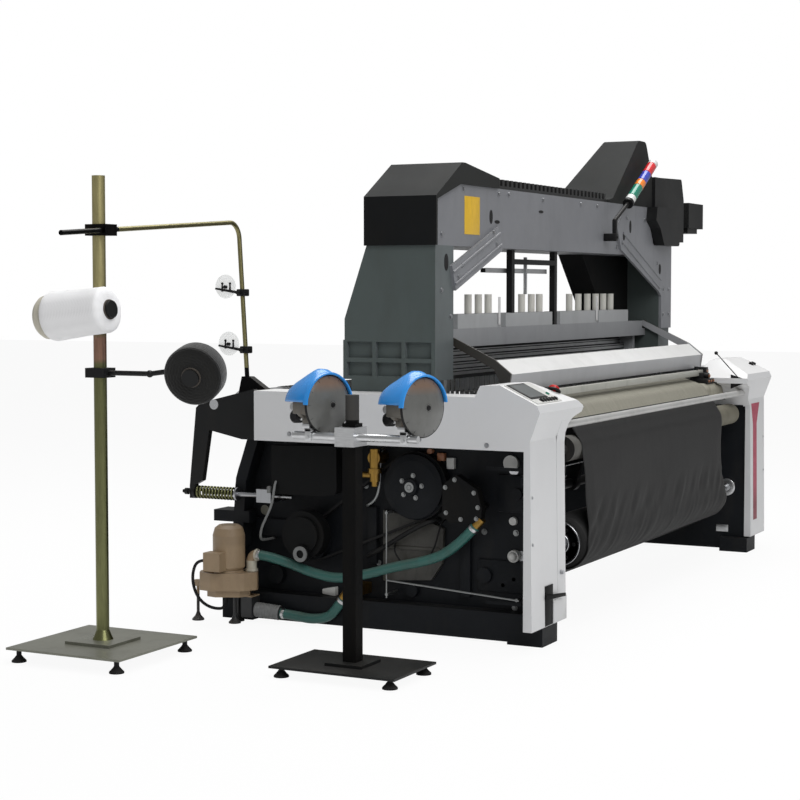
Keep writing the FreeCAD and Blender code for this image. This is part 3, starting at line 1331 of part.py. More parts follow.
def tensioner(name, z):
    """A clamp on the guide tube, its arm and the clear disc."""
    share = (z - tube_end.z) / (tube_corner.z - tube_end.z)
    y = tube_end.y + share * (tube_corner.y - tube_end.y)
    x = tube_end.x
    grip = Part.makeBox(36, 40, 26, Vector(x - 18, y - 20, z - 13))
    arm = Part.makeBox(14, 66, 12, Vector(x - 32, y - 6, z - 2))
    eyes = [Part.makeCylinder(4, 26, Vector(x - 25, y + reach, z + 6)) for reach in (26, 44)]
    disc = Part.makeCylinder(S.tension_disc, 4, Vector(x - 36, y + 52, z + 16), Vector(1, 0, 0))
    return grip.fuse([arm, disc] + eyes).cut(guide_solid).removeSplitter()


keep("disc_tensioners", group("Tensioners", shaped("HighTensioner", tensioner("High", S.disc_high)),
                              shaped("LowTensioner", tensioner("Low", S.disc_low))))


def pose(at, towards):
    """A placement that turns local Z to a direction."""
    return Placement(Vector(*at), Rotation(Vector(0, 0, 1), Vector(*towards)))


WHITE_END = (S.white_x, S.package_y - 128, S.white_z + 19)
WHITE_WAY = (0, 296, -33)
BLACK_END = (S.package_x - 80, S.package_y - 434, S.black_z - 4)
BLACK_WAY = (91, 19, 26)


def package(name, radius, length, end_radius):
    """A wound package: a slightly tapered body with eased rims, on a hollow core."""
    profile = [("spindle_radius + 0.3", "0"), (f"{radius} - 8", "0"), (radius, "8"), (end_radius, f"{length} - 10"),
               (f"{end_radius} - 10", f"{length}"), ("spindle_radius + 0.3", f"{length}")]
    return turned(name, "Z", profile)


white = package("WhitePackage", "white_radius", "white_length", "white_end")
white.Placement = pose(WHITE_END, WHITE_WAY)
keep("white_package", white)
black = package("BlackPackage", "black_radius", "black_length", "black_end")
black.Placement = pose(BLACK_END, BLACK_WAY)
keep("black_package", black)


def package_holders():
    """The post's two clamps, their arms, and the spindles that carry the packages."""
    post = Part.makeCylinder(S.post_radius, S.post_top, Vector(S.package_x, S.package_y, 0))
    made = []
    for end, way, length, z, joint in (
            (WHITE_END, WHITE_WAY, S.white_length, S.white_z, (S.package_x, S.package_y + 184, S.white_z)),
            (BLACK_END, BLACK_WAY, S.black_length, S.black_z, (S.package_x, S.package_y - 210, S.black_z))):
        towards = Vector(*way).normalize()
        spindle = Part.makeCylinder(S.spindle_radius, length + 44, Vector(*end) - towards * 14, towards)
        hub = Part.makeCylinder(30, 12, Vector(*end) - towards * 14, towards)
        back = Part.makeCylinder(26, 16, Vector(*end) + towards * (length + 6), towards)
        knob = Vector(*end) + towards * (length + 26)
        grip = Part.makeBox(70, 80, 34, Vector(S.package_x - 35, S.package_y - 40, z - 17))
        bar_way = Vector(*joint) - Vector(S.package_x, S.package_y, z)
        arm = Part.makeCylinder(9, bar_way.Length, Vector(S.package_x, S.package_y, z), bar_way)
        link = Part.makeCylinder(9, (knob - Vector(*joint)).Length, Vector(*joint), knob - Vector(*joint))
        ball = Part.makeSphere(13, Vector(*joint))
        made.append(shaped(f"Holder{len(made)}", spindle.fuse([hub, back, grip, arm, link, ball]).cut(post)))
    return group("PackageHolders", *made)


keep("package_holders", package_holders())

# ---------------------------------------------------------------- signal tower


def signal_tower():
    lamp = turned("Lamp", "Z", [
        ("0", "0"), ("tower_radius - 4", "0"), ("tower_radius", "10"), ("tower_radius", "tower_length - 12"),
        ("tower_radius - 6", "tower_length"), ("0", "tower_length")])
    lamp.Placement = Placement(Vector(S.tower_x, S.tower_y, S.tower_z), Rotation(Vector(0, 1, 0), S.tower_lean))
    foot = block("TowerFoot", ("415", "445"), ("tower_y - 12", "-gantry_front"), ("1525", "1560"))
    upright = block("TowerUpright", ("420", "440"), ("tower_y - 10", "tower_y + 10"), ("1530", "1630"))
    arm = shaped("TowerArm", Part.makeCylinder(10, 210, Vector(430, S.tower_y, 1620),
                                               Vector(S.tower_x - 430, 0, S.tower_z - 1620)))
    return fused("SignalTower", lamp, foot, upright, arm)


keep("signal_tower", signal_tower())

# ---------------------------------------------------------------- checks and files

doc.recompute()
for item in doc.Objects:
    if "Invalid" in item.State or "Error" in item.State:
        raise RuntimeError(f"{item.Name} failed: {item.State}")
os.makedirs("parts", exist_ok=True)
for item in NODES:
    if item.Shape.isNull() or not item.Shape.isValid() or not item.Shape.Solids:
        raise RuntimeError(f"{item.Label} has no valid solid")
    item.Shape.exportStep(f"parts/{item.Label}.step")
print(len(NODES), "nodes")
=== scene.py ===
"""Finishes, soft pieces, small parts, light and camera for a water-jet power loom.

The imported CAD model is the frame: each piece made here rides on one of its bodies.
X runs along the loom's width, -Y is the cloth side, +Y the warp side, +Z is up, and lengths are metres.
"""

import math

import bmesh
import bpy
from bpy.props import FloatProperty, FloatVectorProperty, IntProperty, PointerProperty
from mathutils import Matrix, Vector, noise


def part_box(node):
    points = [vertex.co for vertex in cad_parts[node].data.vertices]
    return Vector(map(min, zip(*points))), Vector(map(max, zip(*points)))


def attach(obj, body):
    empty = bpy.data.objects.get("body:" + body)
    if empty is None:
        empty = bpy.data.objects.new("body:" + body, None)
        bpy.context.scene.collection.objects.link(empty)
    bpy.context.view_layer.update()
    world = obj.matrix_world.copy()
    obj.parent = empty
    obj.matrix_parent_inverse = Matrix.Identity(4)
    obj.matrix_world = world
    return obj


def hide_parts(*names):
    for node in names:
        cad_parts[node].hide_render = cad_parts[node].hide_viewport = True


bl_info = {
    "name": "Power Loom Finish",
    "version": (1, 0, 0),
    "blender": (4, 5, 0),
    "location": "View3D > Sidebar > Loom",
    "description": "Dresses the frame of a power loom with finishes, cloth, yarn, fittings and a studio",
    "category": "Object",
}

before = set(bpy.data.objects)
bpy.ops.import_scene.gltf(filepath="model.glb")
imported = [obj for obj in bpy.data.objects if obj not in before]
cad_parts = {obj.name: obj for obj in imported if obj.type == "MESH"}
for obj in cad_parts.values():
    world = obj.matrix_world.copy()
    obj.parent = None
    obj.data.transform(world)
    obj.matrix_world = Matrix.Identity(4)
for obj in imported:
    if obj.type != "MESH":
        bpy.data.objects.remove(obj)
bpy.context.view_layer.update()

# ---------------------------------------------------------------- settings


def colour(name, description, default):
    """A colour setting, in linear values."""
    return FloatVectorProperty(name=name, description=description, default=default, subtype="COLOR", min=0.0,
                               max=1.0)


def length(name, description, default):
    """A length setting in metres."""
    return FloatProperty(name=name, description=description, default=default, unit="LENGTH",
                         subtype="DISTANCE")


class LoomPaints(bpy.types.PropertyGroup):
    """The colours of the loom's paints, metals, plastics and yarns."""

    gantry: colour("Gantry", "Front of the overhead beam and its braces", (0.185, 0.190, 0.205))
    column: colour("Columns", "Fronts of the two columns", (0.120, 0.137, 0.140))
    gantry_side: colour("Gantry side", "End panels of the columns", (0.077, 0.095, 0.092))
    hood: colour("Hood", "Sloping hoods and the dobby's guards", (0.029, 0.030, 0.0295))
    dark: colour("Dark cases", "Dobby case, motors and black paint", (0.0085, 0.0090, 0.0095))
    iron: colour("Castings", "Side frames and the rails between them", (0.0085, 0.0100, 0.0125))
    cover: colour("Covers", "Moulded covers of the loom's ends", (0.63, 0.635, 0.645))
    screen: colour("Screen", "Display on the left cover", (0.16, 0.17, 0.17))
    hose: colour("Water hose", "Rubber hoses of the water system", (0.032, 0.130, 0.112))
    pump: colour("Drain pump", "Paint of the drain pump and its motor", (0.34, 0.245, 0.150))
    steel: colour("Steel", "Machined steel", (0.46, 0.47, 0.49))
    zinc: colour("Zinc", "Yellow passivated posts", (0.33, 0.30, 0.145))
    # Painted top light: this lighter colour shows on the splash sheet's upward faces, while its front takes a
    # darker grey of painted shade, though the sheet is one metal.
    sheet: colour("Aluminium", "Top of the splash sheet", (0.80, 0.80, 0.79))
    blue: colour("Feeder hood", "Hoods of the weft feeders", (0.030, 0.290, 0.78))
    olive: colour("Roller cover", "Rough cover of the breast beam and the take-up roller",
                  (0.36, 0.345, 0.28))
    cloth: colour("Cloth", "Woven cloth", (0.031, 0.031, 0.031))
    white_yarn: colour("White yarn", "Yarn of the long package", (0.93, 0.93, 0.94))
    black_yarn: colour("Black yarn", "Yarn of the short package and the warp", (0.0045, 0.0045, 0.0040))
    brass: colour("Brass", "Pump fittings", (0.42, 0.25, 0.06))
    red: colour("Red", "Stop button", (0.55, 0.012, 0.012))
    yellow: colour("Yellow", "Bare plate on the overhead beam", (0.72, 0.44, 0.02))


class LoomSizes(bpy.types.PropertyGroup):
    """Sizes of the pieces that are made here."""

    fold_depth: length("Fold depth", "How far the folds stand off the hanging cloth", 0.013)
    edge_pull: length("Edge pull", "How far the cloth's edges are drawn in half way down", 0.030)
    end_pitch: length("End pitch", "Distance between two warp ends", 0.0074)
    end_width: length("End width", "Width of one warp end", 0.0028)
    key_pitch: length("Key pitch", "Distance between two keys of the display", 0.026)
    key_count: IntProperty(name="Keys", description="Keys in the row under the screen", default=6, min=1)
    hose_clip: length("Hose clip", "Width of the clips at the ends of the hoses", 0.012)


class LoomStudio(bpy.types.PropertyGroup):
    """Camera, light and background."""

    camera_at: FloatVectorProperty(name="Camera", description="Where the camera stands",
                                   subtype="TRANSLATION", unit="LENGTH", default=(-7.418, -3.143, 1.30))
    camera_turn: FloatProperty(name="Turn", description="Direction of view, from +Y towards +X",
                               unit="ROTATION", subtype="ANGLE", default=math.radians(63.2))
    camera_tilt: FloatProperty(name="Tilt", description="How far the camera looks down", unit="ROTATION",
                               subtype="ANGLE", default=math.radians(3.5))
    lens: FloatProperty(name="Lens", description="Focal length in millimetres on a 36 mm sensor",
                        default=80.87)
    key_power: FloatProperty(name="Key light", description="Power of the large lamp in front", unit="POWER",
                             default=215.0)
    fill_power: FloatProperty(name="Fill light", description="Power of the lamp overhead", unit="POWER",
                              default=340.0)
    ambient: FloatProperty(name="Ambient", description="Strength of the even light from all round",
                           default=0.34, min=0.0)
    floor_glow: FloatProperty(name="Floor glow",
                              description="How much of the floor's own white the camera sees",
                              default=0.93, min=0.0, max=1.0)
    mirror_glow: FloatProperty(name="Mirrored backdrop",
                               description="How bright the backdrop is in reflections",
                               default=0.32, min=0.0, max=1.0)


def paints():
    return bpy.context.scene.loom_paints


def sizes():
    return bpy.context.scene.loom_sizes


# ---------------------------------------------------------------- node helpers


def add(tree, kind, inputs=None, **settings):
    """A new node; its inputs are values or sockets, and its settings are the node's own properties."""
    made = tree.nodes.new(kind)
    for name, value in settings.items():
        setattr(made, name, value)
    for name, value in (inputs or {}).items():
        socket = made.inputs[name]
        if isinstance(value, bpy.types.NodeSocket):
            tree.links.new(value, socket)
        else:
            socket.default_value = value
    return made


def arithmetic(tree, operation, first, second=0.0):
    return add(tree, "ShaderNodeMath", {0: first, 1: second}, operation=operation).outputs[0]


def blend(tree, share, first, second):
    """A mix of two colours."""
    return add(tree, "ShaderNodeMix", {0: share, 6: first, 7: second}, data_type="RGBA").outputs[2]


def span(tree, value, low, high, start=0.0, end=1.0):
    return add(tree, "ShaderNodeMapRange",
               {"Value": value, "From Min": low, "From Max": high, "To Min": start,
                "To Max": end}).outputs[0]


def rgba(tint):
    return (*tint[:3], 1.0)


def new_group(name, inputs, outputs):
    """An empty node group with named sockets, and its two end nodes."""
    tree = bpy.data.node_groups.new(name, "ShaderNodeTree")
    for kind, sockets in (("INPUT", inputs), ("OUTPUT", outputs)):
        for label, socket in sockets:
            tree.interface.new_socket(label, in_out=kind, socket_type="NodeSocket" + socket)
    return tree, tree.nodes.new("NodeGroupInput").outputs, tree.nodes.new("NodeGroupOutput").inputs


def place_group(tree, name, inputs):
    """One of the shared node groups, built when it is first asked for."""
    made = tree.nodes.new("ShaderNodeGroup")
    made.node_tree = bpy.data.node_groups.get(name) or GROUPS[name]()
    for label, value in inputs.items():
        if isinstance(value, bpy.types.NodeSocket):
            tree.links.new(value, made.inputs[label])
        else:
            made.inputs[label].default_value = value
    return made.outputs


def aged_surface():
    """Broad mottling, grime in streaks and dust on upward faces."""
    tree, given, result = new_group(
        "Aged Surface",
        [("Paint", "Color"), ("Shade", "Color"), ("Grime", "Color"), ("Mottle Scale", "Float"),
         ("Mottle", "Float"), ("Grime Amount", "Float"), ("Dust Amount", "Float"), ("Roughness", "Float"),
         ("Fine Scale", "Float")],
        [("Color", "Color"), ("Roughness", "Float"), ("Height", "Float")])
    spot = add(tree, "ShaderNodeTexCoord").outputs["Object"]
    broad = add(tree, "ShaderNodeTexNoise", {"Vector": spot, "Scale": given["Mottle Scale"], "Detail": 5.0,
                                             "Roughness": 0.62}).outputs[0]
    mottle = arithmetic(tree, "MULTIPLY", span(tree, broad, 0.36, 0.66), given["Mottle"])
    base = blend(tree, mottle, given["Paint"], given["Shade"])
    stretched = add(tree, "ShaderNodeMapping", {"Vector": spot, "Scale": (1.0, 1.0, 0.3)}).outputs[0]
    streak_scale = arithmetic(tree, "MULTIPLY", given["Mottle Scale"], 2.7)
    streak = add(tree, "ShaderNodeTexNoise", {"Vector": stretched, "Scale": streak_scale, "Detail": 7.0,
                                              "Roughness": 0.7}).outputs[0]
    grime = arithmetic(tree, "MULTIPLY", span(tree, streak, 0.50, 0.70), given["Grime Amount"])
    soiled = blend(tree, grime, base, given["Grime"])
    normal = add(tree, "ShaderNodeNewGeometry").outputs["Normal"]
    upward = add(tree, "ShaderNodeSeparateXYZ", {0: normal}).outputs[2]
    settled = arithmetic(tree, "MULTIPLY", span(tree, upward, 0.35, 0.95), span(tree, broad, 0.30, 0.62))
    dust = arithmetic(tree, "MULTIPLY", settled, given["Dust Amount"])
    tree.links.new(blend(tree, dust, soiled, DUST), result["Color"])
    uneven = arithmetic(tree, "ADD", given["Roughness"], span(tree, broad, 0.3, 0.7, -0.05, 0.07))
    dusty = arithmetic(tree, "ADD", uneven, arithmetic(tree, "MULTIPLY", dust, 0.4))
    tree.links.new(arithmetic(tree, "ADD", dusty, arithmetic(tree, "MULTIPLY", grime, 0.12)),
                   result["Roughness"])
    fine = add(tree, "ShaderNodeTexNoise",
               {"Vector": spot, "Scale": given["Fine Scale"], "Detail": 2.0}).outputs[0]
    tree.links.new(arithmetic(tree, "ADD", fine, arithmetic(tree, "MULTIPLY", streak, 0.6)), result["Height"])
    return tree


def brushed_lines():
    """Fine lines drawn along one direction, from a stretched noise."""
    tree, given, result = new_group(
        "Brushed Lines", [("Stretch", "Vector"), ("Scale", "Float")],
        [("Mask", "Float"), ("Height", "Float")])
    spot = add(tree, "ShaderNodeTexCoord").outputs["Object"]
    drawn = add(tree, "ShaderNodeMapping", {"Vector": spot, "Scale": given["Stretch"]}).outputs[0]
    lines = add(tree, "ShaderNodeTexNoise", {"Vector": drawn, "Scale": given["Scale"], "Detail": 4.0,
                                             "Roughness": 0.7}).outputs[0]
    tree.links.new(span(tree, lines, 0.32, 0.68), result["Mask"])
    tree.links.new(lines, result["Height"])
    return tree


def zone():
    """A mask that is 1 between two distances along a direction of the object, with eased borders."""
    tree, given, result = new_group(
        "Zone", [("Direction", "Vector"), ("From", "Float"), ("To", "Float"), ("Soft", "Float")],
        [("Mask", "Float")])
    spot = add(tree, "ShaderNodeTexCoord").outputs["Object"]
    along = add(tree, "ShaderNodeVectorMath", {0: spot, 1: given["Direction"]},
                operation="DOT_PRODUCT").outputs[1]
    above = span(tree, along, given["From"], arithmetic(tree, "ADD", given["From"], given["Soft"]))
    below = span(tree, along, given["To"], arithmetic(tree, "SUBTRACT", given["To"], given["Soft"]))
    tree.links.new(arithmetic(tree, "MULTIPLY", above, below), result["Mask"])
    return tree


def facing():
    """A mask that is 1 where a face looks along a direction of the object, either way."""
    tree, given, result = new_group("Facing", [("Direction", "Vector")], [("Mask", "Float")])
    normal = add(tree, "ShaderNodeNewGeometry").outputs["Normal"]
    along = add(tree, "ShaderNodeVectorMath", {0: normal, 1: given["Direction"]},
                operation="DOT_PRODUCT").outputs[1]
    tree.links.new(span(tree, arithmetic(tree, "ABSOLUTE", along), 0.55, 0.80), result["Mask"])
    return tree


def thread_weave():
    """Plain weave on the piece's own UV map, counted in threads."""
    tree, given, result = new_group(
        "Thread Weave", [("Threads Across", "Float"), ("Threads Along", "Float")],
        [("Mask", "Float"), ("Height", "Float")])
    spot = add(tree, "ShaderNodeUVMap").outputs[0]
    sides = add(tree, "ShaderNodeSeparateXYZ", {0: spot}).outputs
    waves = []
    for socket, count in ((sides[0], "Threads Across"), (sides[1], "Threads Along")):
        turns = arithmetic(tree, "MULTIPLY", socket, given[count])
        waves.append(arithmetic(tree, "SINE", arithmetic(tree, "MULTIPLY", turns, math.pi)))
    crossing = arithmetic(tree, "MULTIPLY", waves[0], waves[1])
    tree.links.new(span(tree, crossing, -1.0, 1.0), result["Height"])
    tree.links.new(span(tree, crossing, -0.2, 1.0), result["Mask"])
    return tree


def wound_yarn():
    """Crossing turns of yarn on the piece's own UV map: U runs round the package, V along it."""
    tree, given, result = new_group(
        "Wound Yarn", [("Turns", "Float"), ("Slant", "Float")], [("Mask", "Float"), ("Height", "Float")])
    spot = add(tree, "ShaderNodeUVMap").outputs[0]
    sides = add(tree, "ShaderNodeSeparateXYZ", {0: spot}).outputs
    slanted = arithmetic(tree, "MULTIPLY", sides[0], given["Slant"])
    rows = arithmetic(tree, "MULTIPLY", sides[1], given["Turns"])
    waves = []
    for operation in ("ADD", "SUBTRACT"):
        phase = arithmetic(tree, operation, rows, slanted)
        waves.append(arithmetic(tree, "SINE", arithmetic(tree, "MULTIPLY", phase, 2 * math.pi)))
    upper = arithmetic(tree, "MAXIMUM", waves[0], waves[1])
    tree.links.new(span(tree, upper, -0.6, 1.0), result["Height"])
    tree.links.new(span(tree, upper, -0.2, 0.9), result["Mask"])
    return tree


GROUPS = {"Aged Surface": aged_surface, "Brushed Lines": brushed_lines, "Zone": zone, "Facing": facing,
          "Thread Weave": thread_weave, "Wound Yarn": wound_yarn}

# ---------------------------------------------------------------- finishes


FINISH_PREFIX = "finish_"


def material(name):
    """A finish by name, made on first use; the prefix keeps it apart from the frame's own materials."""
    return bpy.data.materials.get(FINISH_PREFIX + name) or FINISHES[name](name)


def shader(name):
    """An empty material with one Principled BSDF."""
    made = bpy.data.materials.new(FINISH_PREFIX + name)
    made.use_nodes = True
    tree = made.node_tree
    return made, tree, tree.nodes["Principled BSDF"]


def dull(tint, share):
    """A darker or, with a share above 1, lighter version of a colour."""
    return tuple(min(1.0, part * share) for part in tint[:3])


def bump(tree, height, distance, strength=1.0):
    return add(tree, "ShaderNodeBump",
               {"Height": height, "Distance": distance, "Strength": strength}).outputs[0]


def wire(tree, surface, sockets):
    for label, value in sockets.items():
        if isinstance(value, bpy.types.NodeSocket):
            tree.links.new(value, surface.inputs[label])
        else:
            surface.inputs[label].default_value = value


def painted(name, tint, roughness=0.42, mottle=0.5, grime=0.25, dust=0.3, scale=3.0, fine=260.0,
            relief=0.00012, zones=(), metallic=0.0, coat=0.0, shade=0.72, dirt=(0.035, 0.028, 0.020),
            specular=0.5):
    """Paint on metal. Each zone is (group name, its inputs, colour): that colour shows where the mask is."""
    made, tree, surface = shader(name)
    paint = rgba(tint)
    for group_name, inputs, second in zones:
        mask = place_group(tree, group_name, inputs)["Mask"]
        paint = blend(tree, mask, paint, rgba(second))
    if zones:
        darker = add(tree, "ShaderNodeHueSaturation", {"Value": shade, "Color": paint}).outputs[0]
    else:
        darker = rgba(dull(tint, shade))
    aged = place_group(tree, "Aged Surface", {
        "Paint": paint, "Shade": darker, "Grime": rgba(dirt), "Mottle Scale": scale, "Mottle": mottle,
        "Grime Amount": grime, "Dust Amount": dust, "Roughness": roughness, "Fine Scale": fine})
    wire(tree, surface, {"Base Color": aged["Color"], "Roughness": aged["Roughness"], "Metallic": metallic,
                         "Coat Weight": coat, "Coat Roughness": 0.25, "Specular IOR Level": specular,
                         "Normal": bump(tree, aged["Height"], relief)})
    return made


def metal(name, tint, roughness=0.3, stretch=(1.0, 12.0, 12.0), scale=40.0, relief=0.00006, grime=0.15,
          zones=()):
    """Machined or drawn metal, with lines along the axis that is stretched least."""
    made, tree, surface = shader(name)
    paint = rgba(tint)
    for group_name, inputs, second in zones:
        paint = blend(tree, place_group(tree, group_name, inputs)["Mask"], paint, rgba(second))
    lines = place_group(tree, "Brushed Lines", {"Stretch": stretch, "Scale": scale})
    darker = add(tree, "ShaderNodeHueSaturation", {"Value": 0.78, "Color": paint}).outputs[0]
    drawn = blend(tree, lines["Mask"], darker, paint)
    aged = place_group(tree, "Aged Surface", {
        "Paint": drawn, "Shade": drawn, "Grime": (0.06, 0.05, 0.04, 1.0), "Mottle Scale": 4.0, "Mottle": 0.0,
        "Grime Amount": grime, "Dust Amount": 0.08, "Roughness": roughness, "Fine Scale": 300.0})
    wire(tree, surface, {"Base Color": aged["Color"], "Metallic": 1.0, "Roughness": aged["Roughness"],
                         "Normal": bump(tree, lines["Height"], relief)})
    return made


def moulded(name, tint, roughness=0.35, relief=0.0001, mottle=0.2, grime=0.1, dust=0.15, fine=500.0,
            specular=0.5):
    return painted(name, tint, roughness, mottle, grime, dust, 5.0, fine, relief, specular=specular)


def yarn(name, tint, turns, slant, relief=0.0008, sheen=0.3):
    """Wound yarn."""
    made, tree, surface = shader(name)
    wound = place_group(tree, "Wound Yarn", {"Turns": turns, "Slant": slant})
    strands = blend(tree, wound["Mask"], rgba(dull(tint, 0.90)), rgba(tint))
    aged = place_group(tree, "Aged Surface", {
        "Paint": strands, "Shade": strands, "Grime": rgba(dull(tint, 0.8)), "Mottle Scale": 9.0,
        "Mottle": 0.0, "Grime Amount": 0.2, "Dust Amount": 0.02, "Roughness": 0.8, "Fine Scale": 900.0})
    wire(tree, surface, {"Base Color": aged["Color"], "Roughness": aged["Roughness"], "Sheen Weight": sheen,
                         "Specular IOR Level": 0.25,
                         "Normal": bump(tree, wound["Height"], relief)})
    return made


def woven(name, tint):
    """The cloth: a fine plain weave with lighter streaks, a painted sheen where it is stretched, and painted
    shade on its lower part.
    """
    made, tree, surface = shader(name)
    weave = place_group(tree, "Thread Weave", {"Threads Across": 900.0, "Threads Along": 700.0})
    lines = place_group(tree, "Brushed Lines", {"Stretch": (9.0, 0.6, 0.6), "Scale": 14.0})
    ground = rgba(tint)
    # Painted shade: the first zone darkens the cloth towards the bottom, fully below z 0.18 and fading out by
    # z 0.40. The second gives the band over the breast beam, z 0.80 to 0.93, a pale olive.
    for (group_name, inputs), second in ((within(UP, -1.0, 0.40, 0.22), dull(tint, 0.42)),
                                         (within(UP, 0.800, 0.93), (0.27, 0.26, 0.215))):
        ground = blend(tree, place_group(tree, group_name, inputs)["Mask"], ground, rgba(second))
    strands = blend(tree, weave["Mask"], add(tree, "ShaderNodeHueSaturation", {
        "Value": 0.72, "Color": ground}).outputs[0], ground)
    # Painted sheen: where the stretched noise is high, the cloth takes a lighter colour that stands for its
    # shine. The darker strands of the weave are its own pattern.
    drawn = blend(tree, arithmetic(tree, "MULTIPLY", lines["Mask"], 0.35), strands,
                  add(tree, "ShaderNodeHueSaturation", {"Value": 1.45, "Color": ground}).outputs[0])
    wire(tree, surface, {"Base Color": drawn, "Roughness": 0.62, "Sheen Weight": 0.02, "Sheen Roughness": 0.4,
                         "Specular IOR Level": 0.10,
                         "Normal": bump(tree, weave["Height"], 0.0003, 0.6)})
    return made


def lens(name, tint):
    """A coloured lamp section."""
    made, tree, surface = shader(name)
    lines = place_group(tree, "Brushed Lines", {"Stretch": (1.0, 1.0, 1.0), "Scale": 60.0})
    drawn = blend(tree, lines["Mask"], rgba(dull(tint, 0.8)), rgba(tint))
    wire(tree, surface, {"Base Color": drawn, "Roughness": 0.18, "Coat Weight": 0.4, "Coat Roughness": 0.1,
                         "Normal": bump(tree, lines["Height"], 0.0002)})
    return made


def clear(name, tint, alpha):
    """Thin clear plastic."""
    made, tree, surface = shader(name)
    lines = place_group(tree, "Brushed Lines", {"Stretch": (1.0, 1.0, 1.0), "Scale": 35.0})
    wire(tree, surface, {"Base Color": blend(tree, lines["Mask"], rgba(dull(tint, 0.9)), rgba(tint)),
                         "Roughness": 0.2,
                         "Alpha": span(tree, lines["Mask"], 0.0, 1.0, alpha - 0.03, alpha + 0.03),
                         "Normal": bump(tree, lines["Height"], 0.00002)})
    return made


BLACK = (0.0085, 0.0085, 0.0090)
WHITE_PEG = (0.66, 0.65, 0.60)
ARM_BROWN = (0.035, 0.032, 0.026)
BEAM_TOP = 1.705
DUST = (0.33, 0.31, 0.27, 1.0)
WHITE = (1.0, 1.0, 1.0, 1.0)
SIDE_ON = ("Facing", {"Direction": (1.0, 0.0, 0.0)})
# Mask of faces that look up or down: they take a lighter colour, painted top light.
PAINTED_TOP_LIGHT = ("Facing", {"Direction": (0.0, 0.0, 1.0)})


def within(direction, low, high, soft=0.0004):
    """A zone between two distances along a direction; its border fades over the last one."""
    return "Zone", {"Direction": direction, "From": low, "To": high, "Soft": soft}


UP = (0.0, 0.0, 1.0)
ACROSS = (1.0, 0.0, 0.0)

